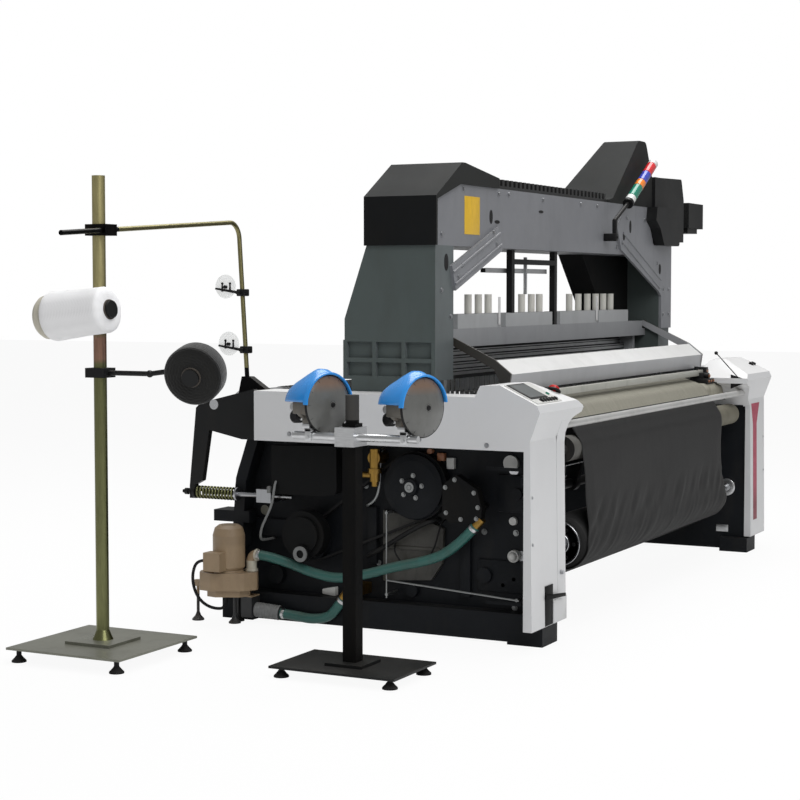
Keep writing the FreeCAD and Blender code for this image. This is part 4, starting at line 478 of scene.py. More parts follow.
FINISHES = {
    "grey_paint": lambda name: painted(name, paints().column, 0.44, 0.3, 0.14, 0.10, specular=0.3,
                                       zones=[(*SIDE_ON, paints().gantry_side)]),
    "beam_paint": lambda name: painted(name, paints().gantry, 0.44, 0.3, 0.12, 0.2,
                                       zones=[(*within(UP, BEAM_TOP + 0.001, 2.0), BLACK)]),
    "brace_paint": lambda name: painted(name, dull(paints().gantry, 1.12), 0.40, 0.3, 0.2, 0.2),
    "hood_paint": lambda name: painted(name, paints().hood, 0.72, 0.35, 0.1, 0.0, specular=0.08,
                                       zones=[(*SIDE_ON, dull(paints().dark, 1.2))]),
    "guard_paint": lambda name: painted(name, dull(paints().hood, 0.95), 0.72, 0.4, 0.1, 0.0, specular=0.08,
                                        zones=[(*within(UP, 0.0, 1.60), paints().dark)]),
    "black_paint": lambda name: painted(name, paints().dark, 0.42, 0.3, 0.15, 0.05, specular=0.22),
    "drive_paint": lambda name: painted(name, dull(paints().dark, 0.6), 0.50, 0.3, 0.15, 0.0, specular=0.12),
    "iron": lambda name: painted(name, paints().iron, 0.50, 0.8, 0.22, 0.05, scale=4.0, fine=160.0,
                                 relief=0.0003, dirt=(0.030, 0.027, 0.022), specular=0.16),
    "beam_iron": lambda name: painted(name, dull(paints().olive, 0.55), 0.5, 0.6, 0.5, 0.1, scale=6.0),
    # Faces that look up or down take a lighter white: painted top light on the covers, which are one white
    # plastic.
    "cover_paint": lambda name: painted(name, paints().cover, 0.36, 0.16, 0.05, 0.05, scale=1.6, fine=380.0,
                                        coat=0.15, dirt=(0.35, 0.33, 0.30),
                                        zones=[(*PAINTED_TOP_LIGHT, (0.80, 0.80, 0.80))]),
    "pale_panel": lambda name: moulded(name, (0.62, 0.62, 0.60), 0.34),
    "steel": lambda name: metal(name, paints().steel),
    "rail_steel": lambda name: painted(name, (0.47, 0.47, 0.46), 0.40, 0.3, 0.2, 0.1, metallic=0.3),
    "roll_steel": lambda name: metal(name, (0.50, 0.51, 0.53), 0.26, grime=0.2, zones=[
        (*within(ACROSS, 0.9525, 0.9575), BLACK), (*within(ACROSS, -0.9575, -0.9525), BLACK)]),
    "chrome": lambda name: metal(name, (0.66, 0.67, 0.69), 0.16, grime=0.08),
    "plate_steel": lambda name: painted(name, (0.200, 0.203, 0.165), 0.30, 0.5, 0.3, 0.1, metallic=0.35,
                                        zones=[(*within(UP, 0.0, 0.0385), BLACK)]),
    # Above z 1.22 the post takes a lighter yellow, painted light on its upper part. The band from z 1.04 to
    # 1.15 takes a reddish brown.
    "zinc": lambda name: metal(name, (0.20, 0.205, 0.095), 0.34, (9.0, 9.0, 0.6), 30.0, grime=0.35, zones=[
        (*within(UP, 1.04, 1.15, 0.02), (0.42, 0.24, 0.17)), (*within(UP, 1.22, 2.0), (0.55, 0.49, 0.24))]),
    "tube_zinc": lambda name: metal(name, dull(paints().zinc, 0.9), 0.38, (1.0, 9.0, 9.0), 30.0, grime=0.3,
                                    zones=[(*within(UP, 0.0, 0.995), BLACK),
                                           (*within(ACROSS, -3.0, -2.19), BLACK)]),
    "aluminium": lambda name: metal(name, (0.60, 0.61, 0.62), 0.36, (0.6, 9.0, 9.0)),
    # The grey is painted shade on the sheet's front, and the lighter colour on its upward faces is painted
    # top light. The dark brown ends beyond the columns are ARM_BROWN.
    "splash_sheet": lambda name: painted(name, (0.36, 0.365, 0.38), 0.34, 0.2, 0.1, 0.05, scale=1.8, zones=[
        (*PAINTED_TOP_LIGHT, paints().sheet), (*within(ACROSS, 1.1885, 2.0), ARM_BROWN),
        (*within(ACROSS, -2.0, -1.1885), ARM_BROWN)]),
    "brass": lambda name: metal(name, paints().brass, 0.35, (6.0, 6.0, 6.0), 20.0, grime=0.5),
    "rubber": lambda name: moulded(name, (0.009, 0.009, 0.0095), 0.6, 0.0002, dust=0.05, specular=0.25),
    "hose": lambda name: moulded(name, paints().hose, 0.30, 0.0001, 0.4, 0.3, 0.2),
    "pump_paint": lambda name: painted(name, paints().pump, 0.42, 0.4, 0.25, 0.15, scale=9.0, relief=0.0004,
                                       dirt=(0.16, 0.10, 0.055), zones=[
                                           (*within(UP, 0.0, 0.106), dull(paints().dark, 2.5)),
                                           (*within(UP, 0.300, 0.5, 0.02), dull(paints().pump, 0.86))]),
    "black_plastic": lambda name: moulded(name, (0.0075, 0.0075, 0.0080), 0.4, dust=0.04, specular=0.22),
    "post_paint": lambda name: painted(name, (0.0035, 0.0035, 0.0035), 0.6, 0.3, 0.1, 0.0, specular=0.08,
                                       zones=[(*within(UP, 0.866, 1.2), (0.062, 0.060, 0.057))]),
    "roller_rubber": lambda name: painted(name, (0.16, 0.15, 0.11), 0.72, 0.5, 0.35, 0.1, scale=8.0,
                                          fine=700.0, relief=0.0006, dirt=(0.06, 0.05, 0.04), zones=[
                                              (*within(ACROSS, -2.0, -0.60), (0.085, 0.083, 0.075)),
                                              (*within(ACROSS, -2.0, -0.9985), BLACK),
                                              (*within(ACROSS, 1.2245, 2.0), BLACK)]),
    "olive_cover": lambda name: painted(name, paints().olive, 0.72, 0.5, 0.35, 0.1, scale=8.0, fine=700.0,
                                        relief=0.0006, dirt=(0.09, 0.075, 0.05)),
    "guide_grey": lambda name: painted(name, (0.290, 0.298, 0.312), 0.4, 0.3, 0.12, 0.15, zones=[
        (*within(UP, 1.149, 1.206), (0.40, 0.41, 0.42)), (*within(UP, 1.206, 1.4), WHITE_PEG)]),
    "screen": lambda name: moulded(name, paints().screen, 0.14, 0.00002, 0.3, 0.05, 0.05),
    "red_plastic": lambda name: moulded(name, paints().red, 0.28),
    "blue_plastic": lambda name: moulded(name, paints().blue, 0.24, 0.0001, 0.5, 0.05, 0.1),
    "grey_screen": lambda name: painted(name, (0.118, 0.120, 0.114), 0.36, 0.5, 0.2, 0.1, scale=14.0,
                                        coat=0.2,
                                        zones=[(*within(UP, 0.955, 1.2, 0.03), (0.185, 0.120, 0.085))]),
    "feeder_metal": lambda name: painted(name, (0.155, 0.145, 0.125), 0.36, 0.6, 0.4, 0.1, scale=16.0,
                                         metallic=0.4, dirt=(0.12, 0.05, 0.02)),
    "silver": lambda name: metal(name, (0.70, 0.71, 0.72), 0.3, (9.0, 0.7, 9.0), 40.0, grime=0.12),
    "white_plastic": lambda name: moulded(name, (0.72, 0.72, 0.72), 0.3),
    "card": lambda name: moulded(name, (0.075, 0.062, 0.052), 0.7, 0.0003),
    "cream": lambda name: moulded(name, (0.56, 0.53, 0.44), 0.45, grime=0.3),
    "temple_grey": lambda name: painted(name, (0.40, 0.40, 0.36), 0.4, 0.3, 0.2, 0.1),
    "dull_steel": lambda name: metal(name, (0.36, 0.37, 0.37), 0.42, grime=0.3),
    "copper": lambda name: moulded(name, (0.32, 0.13, 0.06), 0.35, 0.0003, grime=0.4),
    "grey_boot": lambda name: moulded(name, (0.19, 0.195, 0.195), 0.55, 0.0003, grime=0.3),
    "oiled_iron": lambda name: painted(name, (0.060, 0.058, 0.050), 0.40, 0.8, 0.5, 0.1, scale=12.0,
                                       fine=160.0, relief=0.0004, dirt=(0.012, 0.011, 0.010)),
    "yellow_plate": lambda name: painted(name, paints().yellow, 0.4, 0.35, 0.25, 0.05, scale=14.0,
                                         dirt=(0.20, 0.13, 0.03)),
    "red_stripe": lambda name: painted(name, (0.40, 0.045, 0.090), 0.5, 0.5, 0.15, 0.05, scale=20.0, zones=[
        (*within(UP, 0.0, 0.34, 0.10), (0.22, 0.015, 0.035))]),
    "white_yarn": lambda name: yarn(name, paints().white_yarn, 46.0, 6.0, 0.0002),
    "black_yarn": lambda name: yarn(name, paints().black_yarn, 26.0, 9.0, 0.0008),
    "beam_yarn": lambda name: yarn(name, dull(paints().black_yarn, 2.2), 420.0, 0.0, 0.0006),
    "warp_yarn": lambda name: yarn(name, dull(paints().black_yarn, 3.0), 3.0, 0.0, 0.0001),
    "cloth": lambda name: woven(name, paints().cloth),
    "clear_disc": lambda name: clear(name, (0.86, 0.88, 0.87), 0.30),
    "lamp_white": lambda name: lens(name, (0.70, 0.71, 0.70)),
    "lamp_green": lambda name: lens(name, (0.01, 0.20, 0.13)),
    "lamp_orange": lambda name: lens(name, (0.80, 0.22, 0.02)),
    "lamp_blue": lambda name: lens(name, (0.04, 0.06, 0.42)),
    "lamp_red": lambda name: lens(name, (0.62, 0.02, 0.025)),
}

# Finish of each CAD node that stays in view
NODE_FINISH = {
    "grey_paint": ("left_column", "right_column"),
    "beam_paint": ("overhead_beam",),
    "brace_paint": ("column_braces",),
    "hood_paint": ("left_hood",),
    "guard_paint": ("dobby_guards",),
    "black_paint": ("dobby_case", "dobby_motor", "harness_posts", "cross_rails", "feeder_base",
                    "tension_lever", "sley", "package_holders"),
    "drive_paint": ("main_motor",),
    "iron": ("left_side_frame", "right_side_frame", "main_pulley", "motor_pulley"),
    "beam_iron": ("warp_beam",),
    "cover_paint": ("left_cover", "right_cover"),
    "steel": ("spring_rod",),
    "rail_steel": ("guard_rail",),
    "chrome": ("press_roller", "back_roller", "reed"),
    "plate_steel": ("package_base",),
    "zinc": ("package_post", "tension_spring"),
    "tube_zinc": ("guide_tube",),
    "aluminium": ("heald_frame_1", "heald_frame_2", "heald_frame_3", "heald_frame_4"),
    "splash_sheet": ("splash_cover",),
    "brass": ("weft_pump",),
    "rubber": ("drive_belts", "leveling_feet"),
    "hose": ("water_hoses",),
    "pump_paint": ("drain_pump", "pump_motor"),
    "olive_cover": ("breast_beam",),
    "roller_rubber": ("takeup_roller",),
    "post_paint": ("feeder_post",),
    "pale_panel": ("display_panel",),
    "guide_grey": ("heald_guides",),
    "black_plastic": ("pump_cable",),
    "red_plastic": ("emergency_stop",),
    "silver": ("feeder_crossbar", "disc_tensioners"),
}

# Material slot of a finish, where it isn't called like the finish
SLOTS = {
    "brace_paint": "grey_paint",
    "drive_paint": "black_paint",
    "red_stripe": "cover_paint",
    "iron": "cast_iron",
    "oiled_iron": "cast_iron",
    "steel": "bare_steel",
    "dull_steel": "bare_steel",
    "silver": "bare_steel",
    "roll_steel": "polished_steel",
    "feeder_metal": "aluminium",
    "temple_grey": "aluminium",
    "copper": "brass",
    "yellow_plate": "zinc_yellow",
    "rubber": "black_rubber",
    "hose": "green_hose",
    "grey_boot": "box_grey",
    "screen": "black_plastic",
    "grey_screen": "blue_plastic",
    "cloth": "black_cloth",
    "warp_yarn": "black_warp",
    "beam_yarn": "black_warp",
    **dict.fromkeys(("cream", "pale_panel", "clear_disc", "lamp_white", "lamp_green", "lamp_orange",
                     "lamp_blue", "lamp_red"), "white_plastic"),
}

# ---------------------------------------------------------------- mesh helpers


STILL = Matrix.Identity(4)


def new_verts(mesh, known):
    return [vert for vert in mesh.verts if vert not in known]


def box(mesh, low, high, bevel=0.0, place=STILL):
    """A block between two corners, with its edges eased."""
    low, high = Vector(low), Vector(high)
    where = place @ Matrix.Translation((low + high) / 2) @ Matrix.Diagonal((*(high - low), 1.0))
    made = bmesh.ops.create_cube(mesh, size=1.0, matrix=where)["verts"]
    if bevel:
        edges = dict.fromkeys(edge for vert in made for edge in vert.link_edges)
        bmesh.ops.bevel(mesh, geom=list(edges), offset=bevel, segments=2, profile=0.5, affect="EDGES",
                        clamp_overlap=True, material=-1)


def toward(way, side="Y"):
    """A turn that lays local Z along a direction."""
    return Vector(way).to_track_quat("Z", side).to_matrix().to_4x4()


def aimed(at, axis, angle):
    """A matrix that stands at a point, turned about one axis."""
    return Matrix.Translation(at) @ Matrix.Rotation(angle, 4, axis)


def bar(mesh, first, last, radius, segments=24, end_radius=None, place=STILL):
    """A round bar or cone between two points."""
    first, last = Vector(first), Vector(last)
    bmesh.ops.create_cone(
        mesh, cap_ends=True, segments=segments, radius1=radius,
        radius2=radius if end_radius is None else end_radius,
        depth=(last - first).length,
        matrix=place @ Matrix.Translation((first + last) / 2) @ toward(last - first))


def ball(mesh, centre, radius):
    bmesh.ops.create_uvsphere(mesh, u_segments=20, v_segments=12, radius=radius,
                              matrix=Matrix.Translation(centre))


def lathe(mesh, profile, where=STILL, segments=48):
    """A turned piece: (radius, height) corners spun about Z, then placed by a matrix."""
    known = set(mesh.verts)
    verts = [mesh.verts.new((radius, 0.0, height)) for radius, height in profile]
    edges = [mesh.edges.new(pair) for pair in zip(verts, verts[1:])]
    bmesh.ops.spin(mesh, geom=verts + edges, cent=(0, 0, 0), axis=(0, 0, 1), angle=2 * math.pi,
                   steps=segments, use_merge=True)
    bmesh.ops.remove_doubles(mesh, verts=new_verts(mesh, known), dist=1e-6)
    made = new_verts(mesh, known)
    bmesh.ops.recalc_face_normals(mesh, faces=list({face for vert in made for face in vert.link_faces}))
    bmesh.ops.transform(mesh, matrix=where, verts=made)


def ring(mesh, inner, outer, low, high, where, segments):
    """A flat ring about Z, between two radii and two heights."""
    lathe(mesh, [(inner, low), (outer, low), (outer, high), (inner, high), (inner, low)], where, segments)


def slab(mesh, corners, thickness, bevel=0.0):
    """A flat plate: its outline, pushed out along its own normal."""
    known = set(mesh.verts)
    face = mesh.faces.new([mesh.verts.new(corner) for corner in corners])
    face.normal_update()
    rise = face.normal * thickness
    made = bmesh.ops.extrude_face_region(mesh, geom=[face])
    raised = [item for item in made["geom"] if isinstance(item, bmesh.types.BMVert)]
    bmesh.ops.translate(mesh, verts=raised, vec=rise)
    verts = new_verts(mesh, known)
    bmesh.ops.recalc_face_normals(mesh, faces=list({item for vert in verts for item in vert.link_faces}))
    if bevel:
        edges = dict.fromkeys(edge for vert in raised for edge in vert.link_edges)
        bmesh.ops.bevel(mesh, geom=list(edges), offset=bevel, segments=2, profile=0.5, affect="EDGES",
                        clamp_overlap=True, material=-1)


def bolt(mesh, at, way, radius, tall=None):
    """A six-sided bolt head on its washer."""
    at, way = Vector(at), Vector(way).normalized()
    tall = tall or radius * 0.7
    bar(mesh, at, at + way * tall * 0.25, radius * 1.35, 20)
    bar(mesh, at + way * tall * 0.25, at + way * tall, radius, 6, radius * 0.94)


def bolt_circle(count, radius, y, z, first=0.0):
    """Places (y, z) at even steps on a circle."""
    turns = [2 * math.pi / count * number + first for number in range(count)]
    return [(y + radius * math.cos(turn), z + radius * math.sin(turn)) for turn in turns]


def put(name, data, finish, body="root", slot=None, replaces=()):
    """Shows a mesh or curve with its finish, riding on one of the loom's bodies."""
    made = bpy.data.objects.new(name, data)
    bpy.context.scene.collection.objects.link(made)
    data.materials.append(material(finish))
    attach(made, body)
    if replaces:
        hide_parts(*replaces)
    return made


def piece(mesh, name, finish, smooth=0.6, **ride):
    """Turns a bmesh into a piece of the loom."""
    data = bpy.data.meshes.new(name)
    mesh.to_mesh(data)
    mesh.free()
    if smooth:
        data.shade_smooth()
        data.set_sharp_from_angle(angle=smooth)
    return put(name, data, finish, **ride)


def make(name, finish, *parts, **ride):
    """A piece from its parts, each of them one of the helpers above and its values."""
    mesh = bmesh.new()
    for helper, *values in parts:
        helper(mesh, *values)
    return piece(mesh, name, finish, **ride)


def mapped_mesh():
    """An empty mesh with a UV map."""
    mesh = bmesh.new()
    return mesh, mesh.loops.layers.uv.new("UVMap")


def spread(mesh, layer, spot_of):
    """Fills a UV map by a rule that takes a vertex."""
    for face in mesh.faces:
        for loop in face.loops:
            loop[layer].uv = spot_of(loop.vert)


def thicken(made, thickness):
    """Gives a thin skin its thickness, half to each side."""
    wall = made.modifiers.new("Thickness", "SOLIDIFY")
    wall.thickness = thickness
    wall.offset = 0.0


def tube(name, points, radius, finish, **ride):
    """A smooth cord through control points."""
    curve = bpy.data.curves.new(name, "CURVE")
    curve.dimensions = "3D"
    spline = curve.splines.new("NURBS")
    spline.points.add(len(points) - 1)
    for place, point in zip(spline.points, points):
        place.co = (*point, 1.0)
    spline.order_u = 3
    spline.use_endpoint_u = True
    spline.resolution_u = 8
    curve.bevel_depth = radius
    curve.bevel_resolution = 5
    curve.use_fill_caps = True
    return put(name, curve, finish, **ride)


# ---------------------------------------------------------------- pieces


class LOOM_OT_finishes(bpy.types.Operator):
    """Gives each solid of the CAD frame that stays in view its finish"""

    bl_idname = "loom.finishes"
    bl_label = "Frame Finishes"

    def execute(self, context):
        for finish, names in NODE_FINISH.items():
            for name in names:
                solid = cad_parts[name]
                solid.data.materials.clear()
                solid.data.materials.append(material(finish))
        return {"FINISHED"}


CLOTH_HALF = 0.925
CLOTH_GAP = 0.0013
CLOTH_THICK = 0.0012
CLOTH_WRAP = math.radians(150.0)
CLOTH_COLUMNS = 150
WRAP_STEPS = 40
ARC_STEP = 0.12
STRAIGHT_STEP = 0.012
SELVEDGES_IN_WIDTH = 22
SELVEDGE_CURL = 0.006
# The cloth's and the warp's way, seen along X: (y, z) of the fell, then (y, z, radius) of what they pass
FELL = (-0.410, 0.895)
BREAST = (-0.536, 0.816, 0.034)
TAKEUP = (-0.600, 0.690, 0.050)
ROLL = (-0.570, 0.318, 0.105)
EASING = (0.700, 0.850, 0.045)
WARP_BEAM = (0.530, 0.430, 0.250)
BEAM_CORE = 0.0905
WARP_THICK = 0.0008


def run_round(circles, gap):
    """Points of a sheet that runs past round pieces: straight runs, and arcs cut every few degrees."""
    runs = []
    for (y1, z1, r1, s1), (y2, z2, r2, s2) in zip(circles, circles[1:]):
        r1, r2 = r1 + gap, r2 + gap
        way = Vector((y2 - y1, z2 - z1))
        bearing = math.atan2(way.y, way.x) + math.acos((s2 * r2 - s1 * r1) / way.length)
        normal = Vector((math.cos(bearing), math.sin(bearing)))
        runs.append((Vector((y1, z1)) - normal * s1 * r1, Vector((y2, z2)) - normal * s2 * r2))
    points = [runs[0][0]]
    for index, (first, last) in enumerate(runs):
        if index:
            y, z, radius, side = circles[index]
            centre, radius = Vector((y, z)), radius + gap
            begin = math.atan2(*reversed(points[-1] - centre))
            swept = side * (math.atan2(*reversed(first - centre)) - begin) % (2 * math.pi)
            steps = max(2, int(swept / ARC_STEP))
            for step in range(1, steps + 1):
                angle = begin + side * swept * step / steps
                points.append(centre + Vector((math.cos(angle), math.sin(angle))) * radius)
        steps = max(1, int((last - first).length / STRAIGHT_STEP))
        for step in range(1, steps + 1):
            points.append(first.lerp(last, step / steps))
    return points


def ease(value):
    """0 below 0, 1 above 1, and smooth between them."""
    value = max(0.0, min(1.0, value))
    return value * value * (3.0 - 2.0 * value)


def fold(across, down, past):
    """How far the cloth stands off its way: slanting folds, which only rise where it lies on its roll."""
    slant = across * 7.0 + down * 2.4
    wave = noise.noise(Vector((slant * 1.7, down * 1.1, 3.1)))
    wave += 0.5 * noise.noise(Vector((slant * 4.4, down * 2.0, 8.7)))
    broad = 0.35 * noise.noise(Vector((across * 3.1, down * 2.3, 5.5))) * ease(down / 0.3)
    shown = (wave * ease((past + 0.20) / 0.16) + broad) * ease((0.16 - past) / 0.14)
    lying = ease((past + 0.10) / 0.07)
    return shown * (1.0 - lying) - 0.5 * abs(shown) * lying


def cloth_path():
    """The cloth's way, and the index of the point where it meets its roll."""
    path = run_round([(*FELL, 0.0, 1), (*BREAST, 1), (*TAKEUP, 1), (*ROLL, 1)], CLOTH_GAP)
    centre = Vector(ROLL[:2])
    arm = path[-1] - centre
    turns = [CLOTH_WRAP * step / WRAP_STEPS for step in range(1, WRAP_STEPS + 1)]
    return path + [centre + Matrix.Rotation(turn, 2) @ arm for turn in turns], len(path) - 1


class LOOM_OT_cloth(bpy.types.Operator):
    """Hangs the woven cloth from its fell over the breast beam and the take-up roller to the cloth roll"""

    bl_idname = "loom.cloth"
    bl_label = "Cloth"

    def execute(self, context):
        path, meeting = cloth_path()
        lengths = [0.0]
        for before, after in zip(path, path[1:]):
            lengths.append(lengths[-1] + (after - before).length)
        total = lengths[-1]
        hang_from = next(index for index, point in enumerate(path) if point.y < TAKEUP[1] - 0.01)
        hang = lengths[meeting] - lengths[hang_from]
        mesh, layer = mapped_mesh()
        bmesh.ops.create_grid(mesh, x_segments=CLOTH_COLUMNS, y_segments=len(path) - 1, size=1.0)
        rows = sorted({round(vert.co.y, 6) for vert in mesh.verts})
        row_at = {value: index for index, value in enumerate(rows)}
        spot_of = {}
        for vert in mesh.verts:
            row = row_at[round(vert.co.y, 6)]
            share = (vert.co.x + 1) / 2
            spot_of[vert] = (share, lengths[row] / total)
            way = (path[min(row + 1, len(path) - 1)] - path[max(row - 1, 0)]).normalized()
            outward = Vector((way.y, -way.x))
            down = (lengths[row] - lengths[hang_from]) / hang
            half = CLOTH_HALF
            lift = 0.0
            if down > 0:
                lift = sizes().fold_depth * fold(share * 2 * CLOTH_HALF, down,
                                                 lengths[row] - lengths[meeting])
            if 0 < down < 1:
                half -= sizes().edge_pull * math.sin(math.pi * down) ** 0.8
                edge = max(0.0, 1 - min(share, 1 - share) * SELVEDGES_IN_WIDTH)
                lift += SELVEDGE_CURL * edge * math.sin(math.pi * down)
            spot = path[row] - outward * lift
            vert.co = Vector((half * (2 * share - 1), spot.x, spot.y))
        spread(mesh, layer, spot_of.get)
        made = piece(mesh, "cloth_sheet", "cloth", smooth=3.1, replaces=["cloth"])
        thicken(made, CLOTH_THICK)
        return {"FINISHED"}


def wound_edge(steps, depth, seed, radius, half):
    """Outline of a wound roll, with shallow waves that only cut into its radius."""
    points = []
    for step in range(steps + 1):
        share = step / steps
        wave = depth * noise.noise(Vector((share * seed[0], *seed[1:])))
        points.append((radius - abs(wave), half * (2 * share - 1)))
    return points


def turn_about(vert, axle):
    """How far round an axle along X a vertex lies, in turns."""
    return math.atan2(vert.co.z - axle[1], vert.co.y - axle[0]) / (2 * math.pi)


class LOOM_OT_cloth_roll(bpy.types.Operator):
    """Winds the cloth on its roll between two flanges"""

    bl_idname = "loom.cloth_roll"
    bl_label = "Cloth Roll"

    def execute(self, context):
        low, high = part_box("cloth_roll")
        place = aimed((0, *ROLL[:2]), "Y", math.pi / 2)
        outer = ROLL[2]
        mesh, layer = mapped_mesh()
        near = [(outer * 0.5, -CLOTH_HALF - 0.004), (outer * 0.72, -CLOTH_HALF - 0.001),
                (outer - 0.006, -CLOTH_HALF + 0.002), (outer - 0.001, -CLOTH_HALF + 0.010)]
        far = [(radius, -height) for radius, height in reversed(near)]
        turns = wound_edge(36, 0.0012, (9.0, 2.0, 4.0), outer - 0.0008, CLOTH_HALF - 0.014)
        lathe(mesh, near + turns + far, place, 64)
        spread(mesh, layer, lambda vert: (vert.co.x / (2 * CLOTH_HALF), turn_about(vert, ROLL) * 0.27))
        piece(mesh, "cloth_turns", "cloth", smooth=0.9, body="cloth_roll", replaces=["cloth_roll"])
        flange = [(0.0, 0.926), (0.052, 0.926), (0.052, 0.944), (0.085, 0.945), (0.088, 0.948),
                  (0.088, 0.956), (0.085, 0.959), (0.080, 0.959), (0.077, 0.955), (0.046, 0.953),
                  (0.040, 0.959), (0.0, 0.959)]
        make("cloth_roll_core", "roll_steel",
             (bar, (low.x, *ROLL[:2]), (high.x, *ROLL[:2]), 0.020, 32),
             (lathe, flange, place @ Matrix.Rotation(math.pi, 4, "Y"), 64), (lathe, flange, place, 64),
             body="cloth_roll", replaces=["cloth_roll"])
        make("cloth_roll_bolts", "black_paint",
             *((bolt, (side * 0.9535, y, z), (side, 0, 0), 0.006, 0.004)
               for side in (-1, 1) for y, z in bolt_circle(6, 0.061, *ROLL[:2])), body="cloth_roll")
        return {"FINISHED"}


class LOOM_OT_warp(bpy.types.Operator):
    """Lays the warp's ends from the beam over the back roller to the cloth, and winds the beam"""

    bl_idname = "loom.warp"
    bl_label = "Warp"

    def execute(self, context):
        path = run_round([(FELL[0], EASING[1] + EASING[2], 0.0, -1), (*EASING, -1), (*WARP_BEAM, -1)],
                         CLOTH_GAP)
        kept = [path[0]]
        for before, point, after in zip(path, path[1:], path[2:]):
            if abs((point - before).normalized().cross((after - point).normalized())) > 1e-4:
                kept.append(point)
        kept.append(path[-1])
        mesh, layer = mapped_mesh()
        pitch, wide = sizes().end_pitch, sizes().end_width
        for number in range(int(2 * CLOTH_HALF / pitch)):
            x = -CLOTH_HALF + pitch * (number + 0.5)
            sway = 0.0010 * math.sin(number * 2.4)
            verts = [[mesh.verts.new((x + side * wide / 2, point.x,
                                      point.y + 0.0004 + (sway if index == 1 else 0)))
                      for side in (-1, 1)] for index, point in enumerate(kept)]
            for before, after in zip(verts, verts[1:]):
                face = mesh.faces.new((before[0], before[1], after[1], after[0]))
                for loop, spot in zip(face.loops, ((0, 0), (1, 0), (1, 1), (0, 1))):
                    loop[layer].uv = spot
        bmesh.ops.recalc_face_normals(mesh, faces=mesh.faces[:])
        thicken(piece(mesh, "warp_ends", "warp_yarn", smooth=0, replaces=["warp"]), WARP_THICK)
        mesh, layer = mapped_mesh()
        turns = wound_edge(90, 0.0016, (23.0, 7.0, 1.0), WARP_BEAM[2] - 0.0006, CLOTH_HALF)
        lathe(mesh, [(BEAM_CORE, -CLOTH_HALF), *turns, (BEAM_CORE, CLOTH_HALF)],
              aimed((0, *WARP_BEAM[:2]), "Y", math.pi / 2), 72)
        spread(mesh, layer, lambda vert: (turn_about(vert, WARP_BEAM), vert.co.x / (2 * CLOTH_HALF)))
        piece(mesh, "beam_turns", "beam_yarn", smooth=0.9, body="warp_beam", replaces=["warp_winding"])
        return {"FINISHED"}


WHITE_END = (-2.370, 0.522, 1.234)
WHITE_WAY = (0.0, 0.296, -0.033)
WHITE_LENGTH = 0.243
BLACK_END = (-2.330, 0.216, 1.006)
BLACK_WAY = (0.091, 0.019, 0.026)
BLACK_LENGTH = 0.090
TUBE_OUTER = 0.0335


def wound_package(colour_name, profile, place):
    """A package of yarn on its dark tube, spun about the way it lies."""
    name, ride = colour_name + "_yarn_body", {"slot": colour_name + "_yarn",
                                              "replaces": [colour_name + "_package"]}
    mesh, layer = mapped_mesh()
    lathe(mesh, profile, STILL, 72)
    tall = profile[-1][1]
    for face in mesh.faces:
        turns = [math.atan2(loop.vert.co.y, loop.vert.co.x) / (2 * math.pi) for loop in face.loops]
        wrapped = max(turns) - min(turns) > 0.5
        for loop, turned in zip(face.loops, turns):
            out = math.hypot(loop.vert.co.x, loop.vert.co.y)
            around = turned + 1 if wrapped and turned < 0 else turned
            loop[layer].uv = (around, (loop.vert.co.z + (out - profile[2][0])) / 0.3)
    bmesh.ops.transform(mesh, matrix=place, verts=mesh.verts[:])
    piece(mesh, name, colour_name + "_yarn", smooth=0.9, **ride)
    make(name + "_tube", "black_plastic",
         (lathe, [(0.0125, 0.004), (0.030, 0.004), (0.030, -0.003), (0.0325, -0.003), (0.0325, tall + 0.003),
                  (0.0125, tall + 0.003), (0.0125, 0.004)], place, 40), **ride)
    make(name + "_ring", "card", (ring, 0.0305, 0.0345, -0.0045, 0.002, place, 40), **ride)


class LOOM_OT_packages(bpy.types.Operator):
    """Winds the white and the black package of yarn"""

    bl_idname = "loom.packages"
    bl_label = "Yarn Packages"

    def execute(self, context):
        white_place = Matrix.Translation(WHITE_END) @ toward(WHITE_WAY)
        white = [(TUBE_OUTER, 0.0), (0.052, 0.0004), (0.070, 0.002), (0.0775, 0.007), (0.0800, 0.014)]
        for step in range(1, 12):
            share = step / 12
            sag = 0.0016 * math.sin(math.pi * share) + 0.0008 * noise.noise(Vector((share * 6, 1.5, 2.5)))
            white.append((0.0800 + 0.007 * share - sag, 0.014 + (WHITE_LENGTH - 0.030) * share))
        white += [(radius, WHITE_LENGTH - inset) for radius, inset in (
            (0.0868, 0.016), (0.0835, 0.006), (0.074, 0.0010), (0.050, 0.0002), (TUBE_OUTER, 0.0))]
        wound_package("white", white, white_place)
        black = [(TUBE_OUTER, 0.0), (0.070, 0.0004), (0.094, 0.002), (0.1010, 0.008), (0.1030, 0.016),
                 (0.1028, 0.045)]
        black += [(radius, BLACK_LENGTH - inset) for radius, inset in (
            (0.1010, 0.016), (0.098, 0.008), (0.090, 0.0010), (TUBE_OUTER, 0.0))]
        wound_package("black", black, Matrix.Translation(BLACK_END) @ toward(BLACK_WAY))
        adapter = [(radius, WHITE_LENGTH + height) for radius, height in (
            (TUBE_OUTER, 0.0005), (0.072, 0.0005), (0.076, 0.005), (0.076, 0.022), (0.066, 0.036),
            (TUBE_OUTER, 0.042), (TUBE_OUTER, 0.0005))]
        make("package_adapter", "cream", (lathe, adapter, white_place, 56), replaces=["white_package"])
        return {"FINISHED"}


